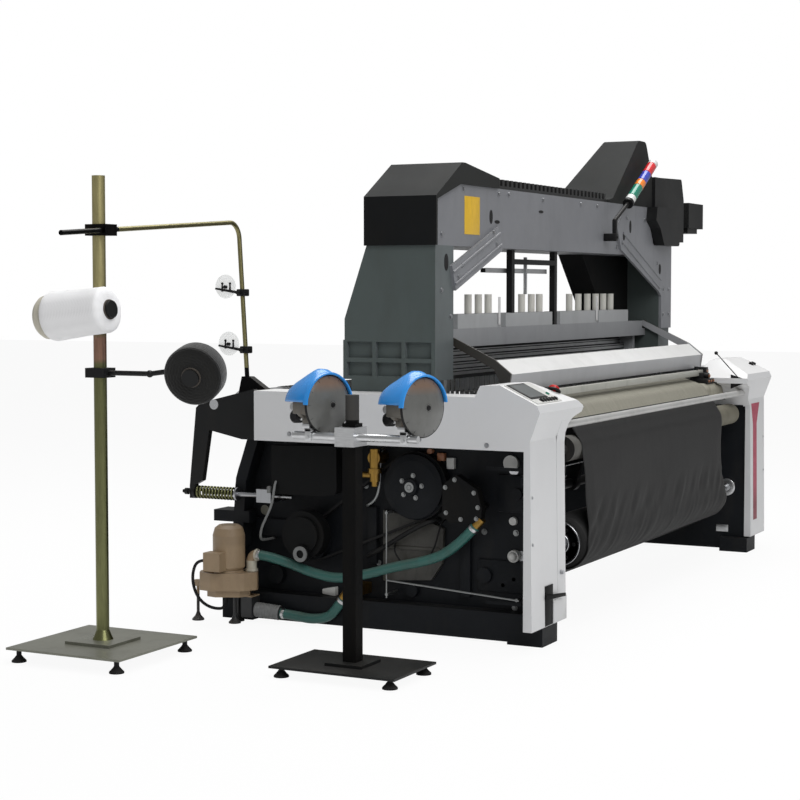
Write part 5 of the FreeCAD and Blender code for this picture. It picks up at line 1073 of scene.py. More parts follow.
FEEDERS = {"left_feeder": -0.191, "right_feeder": -0.549}
FEEDER_X = -2.115
FEEDER_Z = 0.914
FEEDER_TURN = math.radians(-18.0)
BAR_X, BAR_Z = -2.168, 0.811
KNOB = (0.148, -0.047)
SCREEN_PROFILE = [(0.006, -0.0262), (0.020, -0.0256), (0.040, -0.0222), (0.060, -0.0165), (0.080, -0.0098),
                  (0.092, -0.0048), (0.0985, -0.0008), (0.0985, 0.0020), (0.090, -0.0022), (0.078, -0.0070),
                  (0.040, -0.0190), (0.006, -0.0232), (0.006, -0.0262)]
DRUM_PROFILE = [(0.0, 0.004), (0.088, 0.004), (0.092, 0.010), (0.086, 0.016), (0.056, 0.024), (0.048, 0.030),
                *((0.0475 + 0.0008 * (-1) ** step, 0.030 + 0.0022 * step) for step in range(1, 26)),
                (0.048, 0.090), (0.054, 0.094), (0.054, 0.112), (0.044, 0.126), (0.020, 0.134), (0.0, 0.136)]
# The hood's stations: how far back, its radius there, and how much it bulges at the top
HOOD_STATIONS = ((-0.008, 0.1045, 0.0), (0.006, 0.1045, 0.006), (0.020, 0.1035, 0.015), (0.045, 0.100, 0.019),
                 (0.070, 0.095, 0.012), (0.095, 0.088, 0.004), (0.120, 0.078, 0.0), (0.145, 0.064, 0.0),
                 (0.162, 0.046, 0.0), (0.170, 0.024, 0.0))
HOOD_LIP = ((-0.009, 0.102), (-0.011, 0.103), (-0.011, 0.107), (-0.006, 0.109), (0.004, 0.109),
            (0.004, 0.104))
HOOD_SIDES = 30
# In degrees round the screen: where the hood's shell and its lip begin, and how far each reaches
SHELL_ARC = (12.0, 162.0)
LIP_ARC = (8.0, 170.0)
CREST_AT = 88.0
CREST_WIDTH = 24.0
HOOD_THICK = 0.0022


def hood(node, place):
    """The feeder's moulded hood: a thin shell over the screen's upper rim that falls away to the back."""
    mesh = bmesh.new()
    rings = []
    for y, radius, rise in HOOD_STATIONS:
        verts = []
        for step in range(HOOD_SIDES + 1):
            angle = math.radians(SHELL_ARC[0] + SHELL_ARC[1] * step / HOOD_SIDES)
            out = radius + rise * math.exp(-((math.degrees(angle) - CREST_AT) / CREST_WIDTH) ** 2)
            verts.append(mesh.verts.new((out * math.cos(angle), y, out * math.sin(angle))))
        rings.append([mesh.edges.new(pair) for pair in zip(verts, verts[1:])])
    for before, after in zip(rings, rings[1:]):
        bmesh.ops.bridge_loops(mesh, edges=before + after)
    mesh.faces.new([edge.verts[0] for edge in rings[-1]] + [rings[-1][-1].verts[1]])
    lip = []
    for step in range(HOOD_SIDES + 1):
        angle = math.radians(LIP_ARC[0] + LIP_ARC[1] * step / HOOD_SIDES)
        lip.append([mesh.verts.new((out * math.cos(angle), y, out * math.sin(angle))) for y, out in HOOD_LIP])
    for before, after in zip(lip, lip[1:]):
        for index in range(len(HOOD_LIP)):
            mesh.faces.new((before[index - 1], before[index], after[index], after[index - 1]))
    mesh.faces.new(lip[0])
    mesh.faces.new(lip[-1])
    bmesh.ops.recalc_face_normals(mesh, faces=mesh.faces[:])
    bmesh.ops.transform(mesh, matrix=place, verts=mesh.verts[:])
    thicken(piece(mesh, node + "_hood", "blue_plastic", smooth=0.9, replaces=[node]), HOOD_THICK)


class LOOM_OT_feeders(bpy.types.Operator):
    """Makes the two weft feeders: guard screen, rim, drum, hood, tension knob and the clip on the bar"""

    bl_idname = "loom.feeders"
    bl_label = "Weft Feeders"

    def execute(self, context):
        for node, y in FEEDERS.items():
            place = aimed((FEEDER_X, y, FEEDER_Z), "Z", FEEDER_TURN)
            spin = place @ Matrix.Rotation(-math.pi / 2, 4, "X")
            make(node + "_screen", "grey_screen", (lathe, SCREEN_PROFILE, spin, 72), replaces=[node])
            make(node + "_rim", "black_plastic",
                 (lathe, [(0.0975, -0.0016), (0.1010, 0.0), (0.1010, 0.0060), (0.0975, 0.0060),
                          (0.0975, -0.0016)],
                  spin, 72),
                 *((bar, (0.012, 0, -0.0262), (0.095, 0, -0.0046), 0.0006, 6, None,
                    spin @ Matrix.Rotation(math.pi / 6 * count, 4, "Z")) for count in range(12)),
                 (lathe, [(0.0, -0.031), (0.007, -0.030), (0.010, -0.026), (0.010, -0.022), (0.0, -0.022)],
                  spin, 24),
                 replaces=[node])
            make(node + "_drum", "feeder_metal", (lathe, DRUM_PROFILE, spin, 48),
                 *((box, (x - 0.010, 0.004, -0.035), (x + 0.010, 0.118, 0.030), 0.004, place)
                   for x in (-0.046, 0.046)),
                 (box, (-0.020, 0.030, -0.070), (0.020, 0.110, -0.040), 0.004, place), replaces=[node])
            hood(node, place)
            make(node + "_knob", "black_plastic",
                 (bar, (0.006, *KNOB), (-0.020, *KNOB), 0.0235, 32, 0.0225, place),
                 (bar, (-0.020, *KNOB), (-0.026, *KNOB), 0.0225, 32, 0.016, place),
                 (bar, (0.0, 0.010, -0.072), (0.0, 0.016, -0.098), 0.010, 20, 0.012, place), replaces=[node])
            low, high = BAR_Z - 0.017, BAR_Z + 0.024
            make(node + "_clip", "silver",
                 (box, (BAR_X - 0.018, y + 0.026, low), (BAR_X - 0.0135, y + 0.050, high), 0.001),
                 (box, (BAR_X + 0.0135, y + 0.026, low), (BAR_X + 0.018, y + 0.050, high), 0.001),
                 (box, (BAR_X - 0.018, y + 0.025, BAR_Z + 0.0135), (BAR_X + 0.018, y + 0.051, BAR_Z + 0.026),
                  0.002),
                 (box, (BAR_X - 0.018, y + 0.032, BAR_Z + 0.026),
                  (FEEDER_X + 0.045, y + 0.060, FEEDER_Z - 0.062), 0.002),
                 (bar, (BAR_X - 0.024, y + 0.038, BAR_Z - 0.005), (BAR_X - 0.018, y + 0.038, BAR_Z - 0.005),
                  0.006, 16),
                 (bar, (-0.004, 0.148, -0.052), (-0.004, 0.148, 0.038), 0.011, 20, None, place),
                 (bar, (0.0, 0.146, -0.014), (-0.030, 0.146, -0.012), 0.013, 20, None, place),
                 (bar, (-0.004, 0.100, -0.052), (-0.004, 0.152, -0.050), 0.010, 20, None, place),
                 slot="aluminium", replaces=[node])
        return {"FINISHED"}


LAMP_FOOT = Vector((0.620, -0.285, 1.712))
LAMP_LEAN = math.radians(59.7)
LAMP_LENGTH = 0.400
LAMP_RADIUS = 0.024
LAMP_ARM_X = 0.430
LAMP_SECTIONS = (("lamp_white", 0.0, 0.10), ("lamp_green", 0.10, 0.36), ("lamp_orange", 0.36, 0.49),
                 ("lamp_blue", 0.49, 0.70), ("lamp_red", 0.70, 0.92), ("lamp_white", 0.92, 1.0))


def lamp_profile(low, high, topmost):
    """Outline of one ribbed lamp section; the topmost one has a rounder end."""
    neck = LAMP_RADIUS - 0.003
    profile = [(0.0, low), (neck, low), (neck, low + 0.0015), (LAMP_RADIUS, low + 0.003)]
    ribs = max(2, int((high - low) / 0.006))
    for rib in range(1, ribs):
        height = low + 0.003 + (high - low - 0.006) * rib / ribs
        profile.append((LAMP_RADIUS - 0.0007 * (rib % 2), height))
    end = LAMP_RADIUS - 0.006 if topmost else neck
    return profile + [(LAMP_RADIUS, high - 0.003), (neck, high - 0.0015), (end, high), (0.0, high)]


class LOOM_OT_signal_tower(bpy.types.Operator):
    """Makes the stacked signal lamp and its bent arm"""

    bl_idname = "loom.signal_tower"
    bl_label = "Signal Tower"

    def execute(self, context):
        place = aimed(LAMP_FOOT, "Y", LAMP_LEAN)
        count = len(LAMP_SECTIONS)
        for number, (finish, low, high) in enumerate(LAMP_SECTIONS, 1):
            profile = lamp_profile(low * LAMP_LENGTH, high * LAMP_LENGTH, number == count)
            make(f"lamp_section_{number}", finish, (lathe, profile, place, 40), replaces=["signal_tower"])
        lean = Vector((math.sin(LAMP_LEAN), 0, math.cos(LAMP_LEAN)))
        x, y = LAMP_ARM_X, LAMP_FOOT.y
        make("lamp_arm", "black_plastic",
             (bar, LAMP_FOOT - lean * 0.018, LAMP_FOOT, 0.0255, 32),
             (bar, (x, y, 1.620), LAMP_FOOT - lean * 0.010, 0.0095, 20),
             (ball, (x, y, 1.620), 0.0105),
             (box, (x - 0.0095, y - 0.0095, 1.527), (x + 0.0095, y + 0.0095, 1.622), 0.002),
             (box, (x - 0.015, y - 0.012, 1.525), (x + 0.015, GANTRY_FRONT - 0.0002, 1.560), 0.003),
             (bolt, (x, y - 0.012, 1.5425), (0, -1, 0), 0.006), replaces=["signal_tower"])
        return {"FINISHED"}


TENSIONERS = ((0.6134, 1.290), (0.5999, 1.065))
TUBE_X = -1.360


class LOOM_OT_tensioners(bpy.types.Operator):
    """Makes the two yarn tensioners with their clear guard discs"""

    bl_idname = "loom.tensioners"
    bl_label = "Yarn Tensioners"

    def execute(self, context):
        x = TUBE_X
        for number, (y, z) in enumerate(TENSIONERS, 1):
            make(f"tension_disc_{number}", "clear_disc",
                 (lathe, [(0.006, 0.0), (0.045, 0.0), (0.047, 0.0010), (0.047, 0.0022), (0.045, 0.003),
                          (0.006, 0.0018), (0.006, 0.0)],
                  aimed((x - 0.020, y + 0.064, z + 0.024), "Y", -math.pi / 2), 64),
                 replaces=["disc_tensioners"])
            reaches = (0.040, 0.076)
            make(f"tension_grip_{number}", "black_plastic",
                 (box, (x - 0.018, y - 0.022, z - 0.014), (x + 0.018, y + 0.018, z + 0.014), 0.004),
                 (bar, (x - 0.024, y + 0.004, z), (x - 0.030, y + 0.106, z + 0.016), 0.0060, 14, 0.0040),
                 (box, (x - 0.030, y - 0.004, z - 0.006), (x - 0.016, y + 0.014, z + 0.007), 0.002),
                 (bolt, (x - 0.018, y - 0.010, z - 0.006), (-1, 0, 0), 0.0045),
                 *((bar, (x - 0.028, y + reach, z + 0.004), (x - 0.028, y + reach, z + 0.034),
                    0.0045, 14, 0.0030) for reach in reaches),
                 *((ball, (x - 0.028, y + reach, z + 0.036), 0.0050) for reach in reaches),
                 (bar, (x - 0.030, y + 0.064, z + 0.022), (x - 0.018, y + 0.064, z + 0.022), 0.0070, 16),
                 replaces=["disc_tensioners"])
        return {"FINISHED"}


SLOPE_TOP = Vector((0.0, -0.570, 0.960))
SLOPE_FOOT = Vector((0.0, -0.714, 0.891))
SLOPE_NORMAL = Vector((0.0, -0.069, 0.144)).normalized()
PANEL_FACE = 0.0040
KEY_ROW = 0.86
FIRST_KEY = -1.446
# Rise, radius and end radius of a key and of the collar round it
KEY_PARTS = ((0.0110, 0.0088, 0.0080), (0.0060, 0.0112, 0.0105))
STOP_COLLAR = (-1.196, -0.640, 0.923)


def on_slope(x, share, rise):
    """A point over the sloping panel of the left cover."""
    return Vector((x, 0, 0)) + SLOPE_TOP.lerp(SLOPE_FOOT, share) + SLOPE_NORMAL * rise


def slope_corners(left, right, top, foot, rise):
    """The corners of a plate on the sloping panel."""
    return [on_slope(x, share, rise) for x, share in ((left, top), (left, foot), (right, foot), (right, top))]


class LOOM_OT_controls(bpy.types.Operator):
    """Makes the screen, its keys and the small controls on the covers"""

    bl_idname = "loom.controls"
    bl_label = "Controls"

    def execute(self, context):
        make("screen_frame", "black_plastic",
             (slab, slope_corners(-1.506, -1.352, 0.08, 0.76, PANEL_FACE), 0.0030, 0.0012))
        make("screen_glass", "screen", (slab, slope_corners(-1.498, -1.360, 0.13, 0.71, 0.0071), 0.0006))
        pitch = sizes().key_pitch
        places = [FIRST_KEY + pitch * number for number in range(sizes().key_count)]
        make("display_keys", "black_plastic",
             *((bar, on_slope(x, KEY_ROW, PANEL_FACE), on_slope(x, KEY_ROW, rise), radius, 24, end)
               for x in places for rise, radius, end in KEY_PARTS))
        x = FIRST_KEY + pitch * 5.3
        make("start_key", "lamp_green",
             (bar, on_slope(x, 0.62, PANEL_FACE), on_slope(x, 0.62, 0.0085), 0.0085, 24, 0.0078))
        make("stop_collar", "black_plastic",
             (lathe, [(0.0095, 0.0015), (0.027, 0.0015), (0.028, 0.0035), (0.026, 0.0068), (0.0095, 0.0072),
                      (0.0095, 0.0015)], aimed(STOP_COLLAR, "Y", math.radians(30.3)), 40))
        make("right_cover_keys", "black_plastic",
             *((bar, (x, -0.640, 0.9263), (x, -0.644, 0.9353), 0.013, 28, 0.012) for x in (1.500, 1.460)))
        return {"FINISHED"}


COVER_SIDE = 1.535
COVER_SIDE_BOLTS = ((-0.520, 0.743), (0.300, 0.755), (0.300, 0.890), (-0.250, 0.755))
FRONT_BOLT_X = 1.518
FRONT_BOLT_HEIGHTS = (0.391, 0.560)
LEG_FOOT = 0.0775
LEG_TOP = 0.740
LEG_OUTER = -1.2851
LEG_INNER = -1.207
FLAP_BACK = -0.6966
WHIP_FOOT = (1.114, -0.6849, 0.865)
WHIP_TIP = (1.114, -0.564, 0.993)
TAB_FACE = 1.1082
STRIPE = (((1.333, 0.156), (1.397, 0.156), (1.397, 0.636), (1.333, 0.636)),
          ((1.333, 0.636), (1.397, 0.636), (1.447, 0.738), (1.302, 0.738)))


def cover_front(height):
    """How far forward a cover's leg reaches at a height."""
    return -0.698 + 0.01465 * (height - 0.077)


def leg_strip(low, high):
    """The corners of a strip of the leg panel between two (y, z) edges."""
    return [(LEG_OUTER, *low), (LEG_INNER, *low), (LEG_INNER, *high), (LEG_OUTER, *high)]


class LOOM_OT_cover_trim(bpy.types.Operator):
    """Adds bolts, the rest of the left leg, the pedal, the bare stripe, the whip and its tab to the covers"""

    bl_idname = "loom.cover_trim"
    bl_label = "Cover Trim"

    def execute(self, context):
        latch = cover_front(0.258)
        make("cover_bolts", "steel",
             *((bolt, (side * COVER_SIDE, y, z), (side, 0, 0), 0.007, 0.004)
               for side in (-1, 1) for y, z in COVER_SIDE_BOLTS),
             *((bolt, (side * FRONT_BOLT_X, cover_front(z), z), (0, -1, 0), 0.0045, 0.003)
               for side in (-1, 1) for z in FRONT_BOLT_HEIGHTS),
             (bar, (-1.255, latch, 0.258), (-1.255, latch - 0.014, 0.258), 0.009, 20, 0.007))
        foot, top = (cover_front(z) - 0.0002 for z in (LEG_FOOT, LEG_TOP))
        inner_side = ((-0.6978, LEG_FOOT), (top - 0.0004, LEG_TOP), (-0.6920, 0.774), (-0.672, 0.774),
                      (-0.672, LEG_FOOT))
        make("leg_panel", "cover_paint",
             (slab, leg_strip((foot, LEG_FOOT), (top, LEG_TOP)), 0.001),
             (box, (LEG_OUTER, -0.6975, LEG_FOOT), (LEG_INNER, -0.6685, 0.0835)),
             (slab, [(LEG_INNER, y, z) for y, z in inner_side], 0.006),
             (slab, leg_strip((-0.6885, 0.7395), (-0.6925, 0.774)), 0.001),
             (slab, leg_strip((-0.6925, 0.774), (-0.7096, 0.820)), 0.001))
        # The thin dark block on the cover's front is painted shade standing for the pedal's open slot. The
        # slab is the pedal.
        make("pedal_slot", "drive_paint",
             (box, (-1.409, -0.6995, 0.079), (-1.336, -0.6955, 0.226), 0.0008),
             (slab, [(-1.412, -0.6985, 0.196), (-1.412, -0.6985, 0.176), (-1.262, -0.716, 0.172),
                     (-1.262, -0.716, 0.184)], 0.0055, 0.001))
        flap = ((-1.337, 0.161), (-1.337, 0.079), (-1.211, 0.079), (-1.211, 0.168))
        make("pedal_flap", "cover_paint", (slab, [(x, FLAP_BACK, z) for x, z in flap], 0.0075, 0.0015))
        make("cover_stripe", "red_stripe",
             *((slab, [(x, cover_front(z) - 0.0002, z) for x, z in corners], 0.0006) for corners in STRIPE))
        tab = ((-0.640, 0.820), (-0.640, 0.890), (-0.700, 0.872), (-0.700, 0.845))
        make("cover_whip", "black_plastic",
             (bar, WHIP_FOOT, (1.114, -0.565, 0.992), 0.0025, 10),
             (ball, WHIP_TIP, 0.009),
             (slab, [(TAB_FACE, y, z) for y, z in tab], 0.0015))
        return {"FINISHED"}


COLUMN_INNER = 1.210
TEMPLE_HALF = 1.1568
# The front (y) and top (z) of each heald frame, and half the width of its dark bands
HEALD_FACES = ((-0.140, 0.985), (-0.120, 1.010), (-0.100, 1.035), (-0.080, 1.060))
BAND_HALF = 1.078
FRAME_INNER = 1.3004


class LOOM_OT_weave_parts(bpy.types.Operator):
    """Adds the stay behind the healds, the guide pegs, the temple bar, the cutter and the roll's bearings"""

    bl_idname = "loom.weave_parts"
    bl_label = "Weaving Parts"

    def execute(self, context):
        reach = COLUMN_INNER + 0.0005
        make("harness_stay", "black_paint", (box, (-reach, -0.066, 1.040), (reach, -0.056, 1.110), 0.001))
        make("guide_pegs", "white_plastic",
             *((box, (x - 0.0085, -0.1745, 1.158), (x + 0.0085, -0.1698, 1.272), 0.0015)
               for x in (-0.630, 0.503)))
        make("thread_rail_face", "aluminium",
             (box, (-0.700, -0.1405, 1.371), (-0.040, -0.1395, 1.391)),
             (box, (-0.302, -0.152, 1.2825), (-0.289, -0.1395, 1.440), 0.001))
        for number, (front, top) in enumerate(HEALD_FACES, 1):
            make(f"heald_band_{number}", "black_paint",
                 *((box, (-BAND_HALF, front - 0.0008, top - low), (BAND_HALF, front + 0.0002, top - high))
                   for low, high in ((0.034, 0.020), (0.008, 0.004))), body=f"heald_frame_{number}")
        make("temple_bar", "temple_grey",
             (box, (-TEMPLE_HALF, -0.515, 0.885), (TEMPLE_HALF, -0.490, 0.912), 0.002))
        make("selvedge_cutter", "black_paint",
             (box, (0.985, -0.560, 0.8475), (1.100, -0.445, 0.872), 0.003),
             (box, (0.995, -0.535, 0.870), (1.050, -0.470, 0.900), 0.003),
             (bar, (1.030, -0.555, 0.885), (1.030, -0.520, 0.885), 0.014, 20),
             (box, (1.062, -0.530, 0.870), (1.098, -0.480, 0.925), 0.003),
             (bar, (1.000, -0.500, 0.898), (1.000, -0.500, 0.930), 0.010, 16))
        spots = ((1.080, -0.530, 0.905), (1.012, -0.560, 0.860), (1.050, -0.560, 0.860),
                 (1.086, -0.560, 0.860))
        make("selvedge_fittings", "copper",
             (bar, (1.030, -0.560, 0.885), (1.030, -0.554, 0.885), 0.008, 16),
             *((bolt, spot, (0, -1, 0), 0.005, 0.004) for spot in spots),
             (bar, (1.022, -0.500, 0.898), (1.022, -0.500, 0.915), 0.006, 14))
        bearing = [(0.0212, 0.0), (0.042, 0.0), (0.042, 0.006), (0.038, 0.008), (0.0212, 0.008),
                   (0.0212, 0.0)]
        make("roll_bearings", "silver",
             *((lathe, bearing, aimed((side * FRAME_INNER, *ROLL[:2]), "Y", -side * math.pi / 2), 40)
               for side in (-1, 1)),
             (box, (FRAME_INNER - 0.0026, -0.579, 0.093), (FRAME_INNER, -0.518, 0.128), 0.0005))
        return {"FINISHED"}


WEB_FACE = -1.335
SEAT = 0.0005
WEB_BOLTS = ((-0.496, 0.546), (-0.423, 0.401), (-0.551, 0.404), (-0.546, 0.232), (-0.503, 0.207),
             (-0.547, 0.125), (0.076, 0.549), (0.021, 0.255), (-0.542, 0.448), (0.381, 0.254),
             (-0.600, 0.560), (-0.120, 0.760))
GEAR_COVER_FACE = -1.4428
GEAR_COVER_BOLTS = ((-0.315, 0.478), (-0.312, 0.572), (-0.350, 0.602), (-0.428, 0.557), (-0.444, 0.504),
                    (-0.438, 0.462), (-0.375, 0.457))
PULLEY = (-0.153, 0.562)
# (y, z) of the first corner, then of the corner across from it, and how tall the block stands on the web
WEB_BLOCKS = (((0.060, 0.470), (0.020, 0.250), 0.022), ((-0.330, 0.390), (-0.372, 0.150), 0.018),
              ((-0.480, 0.620), (-0.600, 0.480), 0.012), ((-0.400, 0.300), (-0.590, 0.180), 0.010),
              ((0.560, 0.400), (0.420, 0.330), 0.020), ((-0.300, 0.760), (-0.470, 0.700), 0.014))
WEB_BOSSES = ((-0.430, 0.240, 0.032), (-0.130, 0.160, 0.026), (0.470, 0.180, 0.040), (-0.560, 0.550, 0.024))
BAY_LINES = (
    ("bay_conduit", ((-1.340, 0.060, 0.280), (-1.380, 0.045, 0.286), (-1.392, -0.020, 0.318),
                     (-1.394, -0.120, 0.380), (-1.392, -0.200, 0.425), (-1.360, -0.235, 0.436),
                     (-1.334, -0.236, 0.436)), 0.009, "rubber"),
    ("bay_wire", ((-1.334, -0.262, 0.436), (-1.375, -0.262, 0.434), (-1.382, -0.240, 0.330),
                  (-1.382, -0.190, 0.262), (-1.382, -0.120, 0.252), (-1.380, -0.070, 0.300),
                  (-1.360, -0.060, 0.340), (-1.334, -0.060, 0.345)), 0.0032, "rubber"),
    ("bay_pipe", ((-1.334, -0.010, 0.700), (-1.372, -0.010, 0.698), (-1.380, -0.008, 0.660),
                  (-1.380, -0.008, 0.560), (-1.380, 0.010, 0.500), (-1.372, 0.060, 0.474),
                  (-1.334, 0.064, 0.474)), 0.0055, "dull_steel"),
    ("bay_line", ((-1.4495, 0.410, 0.560), (-1.4630, 0.409, 0.548), (-1.4660, 0.416, 0.480),
                  (-1.4640, 0.440, 0.430), (-1.4560, 0.474, 0.376), (-1.4480, 0.484, 0.330),
                  (-1.4060, 0.486, 0.322), (-1.334, 0.486, 0.322)), 0.0050, "grey_boot"))


def pad(outline, tall, bevel):
    """A pad on the left frame's web from its (y, z) outline, listed so that it grows outwards."""
    return slab, [(WEB_FACE + SEAT, y, z) for y, z in outline], tall, bevel


def block(first, across, tall, bevel):
    """A rectangular pad on the web between two (y, z) corners, the first one higher and further back."""
    (y, z), (front, foot) = first, across
    return pad([(y, z), (y, foot), (front, foot), (front, z)], tall, bevel)


def boss(y, z, tall, *size):
    """A round boss that stands on the web; its size is radius, sides and end radius."""
    return bar, (WEB_FACE + SEAT, y, z), (WEB_FACE - tall, y, z), *size


class LOOM_OT_drive_bay(bpy.types.Operator):
    """Fills the bay of the left side frame: castings, bolts, hub, sight glasses, rods and thin lines"""

    bl_idname = "loom.drive_bay"
    bl_label = "Drive Bay"

    def execute(self, context):
        sump = ((-0.004, 0.462), (-0.004, 0.189), (-0.210, 0.204), (-0.256, 0.272), (-0.262, 0.404),
                (-0.189, 0.434))
        make("bay_casting", "oiled_iron", pad(sump, 0.016, 0.004),
             block((-0.020, 0.330), (-0.250, 0.316), 0.024, 0.003))
        make("bay_ribs", "iron",
             *(block(first, across, tall, 0.004) for first, across, tall in WEB_BLOCKS),
             *(boss(y, z, 0.022, radius, 28, radius * 0.9) for y, z, radius in WEB_BOSSES),
             *((box, (-1.4065, -0.600, z), (-1.4045, -0.460, z + 0.012)) for z in (0.145, 0.640)))
        make("bay_bolts", "dull_steel",
             *((bolt, (WEB_FACE + SEAT, y, z), (-1, 0, 0), 0.0085, 0.010) for y, z in WEB_BOLTS),
             *((bolt, (GEAR_COVER_FACE, y, z), (-1, 0, 0), 0.0065, 0.006) for y, z in GEAR_COVER_BOLTS))
        make("bay_labels", "pale_panel",
             boss(-0.533, 0.663, 0.014, 0.030, 40, 0.029), boss(-0.542, 0.448, 0.012, 0.016, 28, 0.015),
             boss(-0.546, 0.318, 0.018, 0.024, 32, 0.022), (ball, (WEB_FACE - 0.022, -0.546, 0.318), 0.017),
             block((-0.274, 0.673), (-0.305, 0.631), 0.018, 0.002),
             pad([(0.258, 0.138), (0.258, 0.119), (0.200, 0.113), (0.200, 0.150)], 0.024, 0.003))
        hub = -1.4215
        make("pulley_bolts", "dull_steel",
             (ring, 0.010, 0.019, 0.0, 0.003, aimed((hub, *PULLEY), "Y", -math.pi / 2), 32),
             (bar, (hub, *PULLEY), (hub - 0.004, *PULLEY), 0.009, 6),
             *((bolt, (-1.4052, y, z), (-1, 0, 0), 0.0070, 0.007)
               for y, z in bolt_circle(5, 0.044, *PULLEY, 0.5)),
             body="main_pulley")
        rods = -1.420
        make("bay_rods", "dull_steel",
             (bar, (rods, -0.056, 0.137), (rods, -0.056, 0.470), 0.0030, 12),
             (bar, (rods, -0.056, 0.205), (rods, -0.600, 0.168), 0.0038, 12),
             *((bar, (WEB_FACE + SEAT, y, z), (rods - 0.002, y, z), 0.006, 14)
               for y, z in ((-0.056, 0.150), (-0.056, 0.460), (-0.590, 0.1688))))
        make("bay_copper", "copper", block((-0.235, 0.690), (-0.265, 0.660), 0.020, 0.003),
             boss(-0.205, 0.694, 0.020, 0.011, 20))
        for line in BAY_LINES:
            tube(*line)
        make("clutch_ring", "grey_boot",
             (ring, 0.016, 0.030, 0.0, 0.005, aimed((-1.4868, 0.281, 0.290), "Y", -math.pi / 2), 36),
             (box, (-1.4600, 0.432, 0.514), (-1.4440, 0.446, 0.540), 0.002))
        return {"FINISHED"}


BOOT_TOP = Vector((-1.455, 0.500, 0.0545))
BOOT_FOOT = Vector((-1.440, 0.399, 0.0455))
BOOT_INNER = 0.0215
BOOT_RIBS = 9
ELBOW_X, ELBOW_Y, ELBOW_Z = -1.456, 0.518, 0.205


class LOOM_OT_pump_fittings(bpy.types.Operator):
    """Adds the ribbed boot and the pale, ribbed elbow of the drain pump"""

    bl_idname = "loom.pump_fittings"
    bl_label = "Pump Fittings"

    def execute(self, context):
        way = BOOT_FOOT - BOOT_TOP
        profile = [(BOOT_INNER, 0.0)]
        for rib in range(BOOT_RIBS):
            start = rib / BOOT_RIBS * way.length
            profile += [(0.0276, start), (0.0292, start + 0.003), (0.0292, start + 0.007),
                        (0.0276, start + 0.010)]
        profile += [(BOOT_INNER, way.length), (BOOT_INNER, 0.0)]
        make("pump_boot", "grey_boot", (lathe, profile, Matrix.Translation(BOOT_TOP) @ toward(way), 36))
        x, y, z = ELBOW_X, ELBOW_Y, ELBOW_Z
        make("pump_elbow", "cream",
             (bar, (x, y, z), (x, y, z + 0.009), 0.0245, 32),
             (bar, (x, 0.497, 0.269), (x, 0.489, 0.269), 0.0235, 32),
             *((bar, (x, y, z + 0.007 + step * 0.005), (x, y, z + 0.0115 + step * 0.005), 0.0208, 32)
               for step in range(7)))
        return {"FINISHED"}


GANTRY_FRONT = -0.235
BRACE_FRONT = GANTRY_FRONT - 0.012
# (x, z, width, height, y) of the dark holes in the gantry's plates: flat black discs stand for them, painted
# shade in the holes
HOLES = ((-0.860, 1.590, 0.030, 0.055, GANTRY_FRONT), (-1.275, 1.405, 0.034, 0.064, GANTRY_FRONT),
         (0.748, 1.601, 0.026, 0.060, BRACE_FRONT), (0.659, 1.554, 0.026, 0.040, BRACE_FRONT),
         (1.189, 1.404, 0.030, 0.050, BRACE_FRONT), (-0.800, 1.572, 0.050, 0.014, GANTRY_FRONT),
         (-0.340, 1.630, 0.050, 0.012, GANTRY_FRONT))
BEAM_BOLTS = ((-1.122, 1.687), (-1.317, 1.510), (-0.786, 1.685), (-0.684, 1.688), (-0.319, 1.682),
              (0.124, 1.683), (0.330, 1.683), (-1.317, 1.300), (-1.235, 1.200), (0.590, 1.500))
BRACE_BOLTS = ((-1.190, 1.352), (-1.160, 1.395), (-0.830, 1.485), (-0.860, 1.530), (0.700, 1.640),
               (0.950, 1.640), (1.246, 1.304), (1.330, 1.304), (1.246, 1.180), (1.330, 1.180),
               (1.150, 1.430), (0.640, 1.520))
# The middle line of each brace's ribs, and the step from it to one of its two ribs
BRACES = ((Vector((-1.230, 0, 1.345)), Vector((-0.790, 0, 1.505)), Vector((-0.34, 0, 0.94)) * 0.024),
          (Vector((0.640, 0, 1.550)), Vector((1.200, 0, 1.330)), Vector((0.37, 0, 0.93)) * 0.022))


class LOOM_OT_gantry_trim(bpy.types.Operator):
    """Adds the bare plate, black discs of painted shade for the holes, bolts and brace ribs of the gantry"""

    bl_idname = "loom.gantry_trim"
    bl_label = "Gantry Trim"

    def execute(self, context):
        plate = ((-1.112, 1.515), (-0.970, 1.515), (-0.970, 1.662), (-1.112, 1.662))
        make("beam_plate", "yellow_plate",
             (slab, [(x, GANTRY_FRONT - 0.0001, z) for x, z in plate], 0.0012, 0.0008))
        # Black discs with the rubber finish: painted shade where the plates have holes.
        make("beam_holes", "rubber",
             *((bar, (0, 0.0008, 0), (0, -0.0008, 0), 1.0, 28, None,
                Matrix.Translation((x, y - 0.0006, z)) @ Matrix.Diagonal((wide / 2, 1.0, tall / 2, 1.0)))
               for x, z, wide, tall, y in HOLES))
        make("gantry_bolts", "steel",
             *((bolt, (x, front, z), (0, -1, 0), 0.008, 0.005)
               for front, spots in ((GANTRY_FRONT, BEAM_BOLTS), (BRACE_FRONT, BRACE_BOLTS))
               for x, z in spots))
        face = Vector((0, BRACE_FRONT - 0.0005, 0))
        make("brace_ribs", "brace_paint",
             *((bar, first + step * side + face, last + step * side + face, 0.0055, 12)
               for first, last, step in BRACES for side in (-1, 1)))
        return {"FINISHED"}


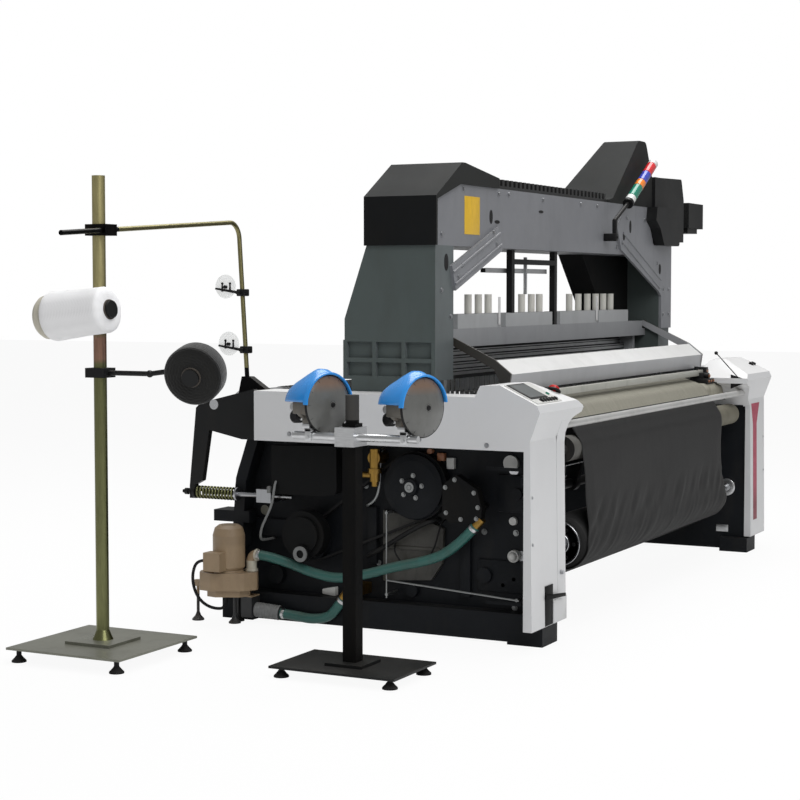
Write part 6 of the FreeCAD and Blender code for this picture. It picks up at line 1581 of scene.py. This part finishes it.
HOSE_RADIUS = 0.019
CABLE_RADIUS = 0.006
HOSES = {
    "upper_hose": (0.990, (
        (-1.456, 0.494, 0.269), (-1.456, 0.452, 0.269), (-1.446, 0.345, 0.243), (-1.443, 0.262, 0.216),
        (-1.441, 0.150, 0.197), (-1.440, 0.018, 0.224), (-1.438, -0.101, 0.262), (-1.434, -0.218, 0.288),
        (-1.430, -0.300, 0.318), (-1.428, -0.380, 0.380), (-1.428, -0.428, 0.432))),
    "lower_hose": (0.312, (
        (-1.440, 0.397, 0.045), (-1.43295, 0.33449, 0.03936), (-1.430, 0.262, 0.030), (-1.430, 0.190, 0.044),
        (-1.431, 0.158, 0.076), (-1.432, 0.122, 0.123)))}
PUMP_CABLE = ((-1.575, 0.650, 0.252), (-1.575, 0.692, 0.252), (-1.572, 0.718, 0.200), (-1.568, 0.716, 0.140),
              (-1.560, 0.690, 0.088), (-1.536, 0.650, 0.058), (-1.500, 0.606, 0.056), (-1.500, 0.606, 0.108))
CLIP_THICK = 0.0016


def clip(mesh, at, way, inner, wide):
    """A worm-drive clip round a hose, its screw housing on top."""
    place = Matrix.Translation(at) @ toward(way, "X")
    half, outer, crown = wide / 2, inner + CLIP_THICK, inner + CLIP_THICK * 1.4
    lathe(mesh, [(inner, -half), (outer, -half), (crown, -half * 0.6), (crown, half * 0.6), (outer, half),
                 (inner, half), (inner, -half)], place, 40)
    box(mesh, (-0.007, inner - 0.001, -half * 0.9), (0.007, inner + 0.007, half * 0.9), 0.0012, place)


class LOOM_OT_hoses(bpy.types.Operator):
    """Leads the water hoses and the pump's cable"""

    bl_idname = "loom.hoses"
    bl_label = "Hoses and Cable"

    def execute(self, context):
        wide = sizes().hose_clip
        for name, (real, route) in HOSES.items():
            hose = tube(name, route, HOSE_RADIUS, "hose", replaces=["water_hoses"])
            mesh = bmesh.new()
            for first, second in ((route[0], route[1]), (route[-1], route[-2])):
                way = (Vector(second) - Vector(first)).normalized()
                clip(mesh, Vector(first) + way * wide, way, HOSE_RADIUS - 0.0004, wide)
            clips = piece(mesh, name + "_clips", "silver")
        cable = tube("pump_lead", PUMP_CABLE, CABLE_RADIUS, "rubber", replaces=["pump_cable"])
        return {"FINISHED"}


# Where each lamp stands, what it shines at and how wide it is
KEY_LAMP = ((-4.6, -4.4, 5.4), (0.0, -0.2, 0.8), 4.0)
FILL_LAMP = ((0.6, 0.3, 5.6), (0.0, 0.0, 0.8), 5.0)
FLOOR_HALF = 30.0


class LOOM_OT_studio(bpy.types.Operator):
    """Sets up the floor, the backdrop, the lamps and the camera"""

    bl_idname = "loom.studio"
    bl_label = "Studio"

    def execute(self, context):
        scene = context.scene
        studio = scene.loom_studio
        camera = bpy.data.cameras.new("Camera")
        camera.lens = studio.lens
        camera.sensor_width = 36.0
        camera.clip_end = 100.0
        eye = bpy.data.objects.new("Camera", camera)
        scene.collection.objects.link(eye)
        eye.location = studio.camera_at
        level = math.cos(studio.camera_tilt)
        view = Vector((math.sin(studio.camera_turn) * level, math.cos(studio.camera_turn) * level,
                       -math.sin(studio.camera_tilt)))
        eye.rotation_mode = "QUATERNION"
        eye.rotation_quaternion = view.to_track_quat("-Z", "Y")
        scene.camera = eye
        scene.view_settings.view_transform = "Standard"
        self.lamp(scene, "Key", *KEY_LAMP, studio.key_power)
        self.lamp(scene, "Fill", *FILL_LAMP, studio.fill_power)
        self.floor(scene, studio)
        self.world(scene, studio)
        return {"FINISHED"}

    def lamp(self, scene, name, place, aim, side, power):
        data = bpy.data.lights.new(name, "AREA")
        data.shape = "SQUARE"
        data.size = side
        data.energy = power
        made = bpy.data.objects.new(name, data)
        scene.collection.objects.link(made)
        made.location = place
        made.rotation_mode = "QUATERNION"
        made.rotation_quaternion = (Vector(aim) - Vector(place)).to_track_quat("-Z", "Y")

    def floor(self, scene, studio):
        mesh = bmesh.new()
        bmesh.ops.create_grid(mesh, x_segments=1, y_segments=1, size=FLOOR_HALF)
        data = bpy.data.meshes.new("floor")
        mesh.to_mesh(data)
        mesh.free()
        made = bpy.data.objects.new("floor", data)
        scene.collection.objects.link(made)
        finish, tree, surface = shader("floor")
        rays = add(tree, "ShaderNodeLightPath").outputs
        spot = add(tree, "ShaderNodeTexCoord").outputs["Object"]
        cloudy = add(tree, "ShaderNodeTexNoise", {"Vector": spot, "Scale": 0.8}).outputs[0]
        wire(tree, surface,
             {"Base Color": blend(tree, cloudy, (0.82, 0.82, 0.82, 1.0), (0.86, 0.86, 0.86, 1.0)),
              "Roughness": 0.9})
        glow = add(tree, "ShaderNodeEmission", {"Color": WHITE, "Strength": 1.0}).outputs[0]
        mirrored = arithmetic(tree, "MULTIPLY", rays["Is Glossy Ray"], studio.mirror_glow)
        seen = arithmetic(tree, "MAXIMUM", rays["Is Camera Ray"], mirrored)
        seen = arithmetic(tree, "MAXIMUM", seen, rays["Is Transmission Ray"])
        share = arithmetic(tree, "MULTIPLY", seen, studio.floor_glow)
        mixed = add(tree, "ShaderNodeMixShader", {0: share, 1: surface.outputs[0], 2: glow}).outputs[0]
        tree.links.new(mixed, tree.nodes["Material Output"].inputs["Surface"])
        data.materials.append(finish)

    def world(self, scene, studio):
        world = bpy.data.worlds.new("Studio")
        scene.world = world
        world.use_nodes = True
        tree = world.node_tree
        backdrop = tree.nodes["Background"]
        backdrop.inputs["Color"].default_value = WHITE
        rays = add(tree, "ShaderNodeLightPath").outputs
        seen = arithmetic(tree, "MAXIMUM", rays["Is Camera Ray"], rays["Is Transmission Ray"])
        mirrored = arithmetic(tree, "MULTIPLY", rays["Is Glossy Ray"], studio.mirror_glow)
        diffuse = arithmetic(tree, "MULTIPLY", rays["Is Diffuse Ray"], studio.ambient)
        shown = arithmetic(tree, "MAXIMUM", seen, arithmetic(tree, "MAXIMUM", mirrored, diffuse))
        tree.links.new(shown, backdrop.inputs["Strength"])


OPERATORS = (LOOM_OT_studio, LOOM_OT_finishes, LOOM_OT_cloth, LOOM_OT_cloth_roll, LOOM_OT_warp,
             LOOM_OT_packages, LOOM_OT_feeders, LOOM_OT_signal_tower, LOOM_OT_tensioners, LOOM_OT_controls,
             LOOM_OT_cover_trim, LOOM_OT_weave_parts, LOOM_OT_drive_bay, LOOM_OT_pump_fittings,
             LOOM_OT_gantry_trim, LOOM_OT_hoses)


class LOOM_PT_panel(bpy.types.Panel):
    """Lists the pieces of the loom in the sidebar of the 3D view"""

    bl_idname = "LOOM_PT_panel"
    bl_label = "Power Loom"
    bl_space_type = "VIEW_3D"
    bl_region_type = "UI"
    bl_category = "Loom"

    def draw(self, context):
        for operator in OPERATORS:
            self.layout.operator(operator.bl_idname)
        for settings in ("loom_sizes", "loom_paints", "loom_studio"):
            group = getattr(context.scene, settings)
            column = self.layout.column()
            for name in group.bl_rna.properties.keys():
                if name not in ("rna_type", "name"):
                    column.prop(group, name)


SETTINGS = {"loom_paints": LoomPaints, "loom_sizes": LoomSizes, "loom_studio": LoomStudio}


def register():
    for kind in (*SETTINGS.values(), *OPERATORS, LOOM_PT_panel):
        bpy.utils.register_class(kind)
    for name, kind in SETTINGS.items():
        setattr(bpy.types.Scene, name, PointerProperty(type=kind))


def unregister():
    for name in SETTINGS:
        delattr(bpy.types.Scene, name)
    for kind in (LOOM_PT_panel, *reversed(OPERATORS), *SETTINGS.values()):
        bpy.utils.unregister_class(kind)


def main():
    """Dresses the loom: every operator in turn."""
    register()
    for operator in OPERATORS:
        group, name = operator.bl_idname.split(".")
        getattr(getattr(bpy.ops, group), name)()


if __name__ == "__main__":
    main()
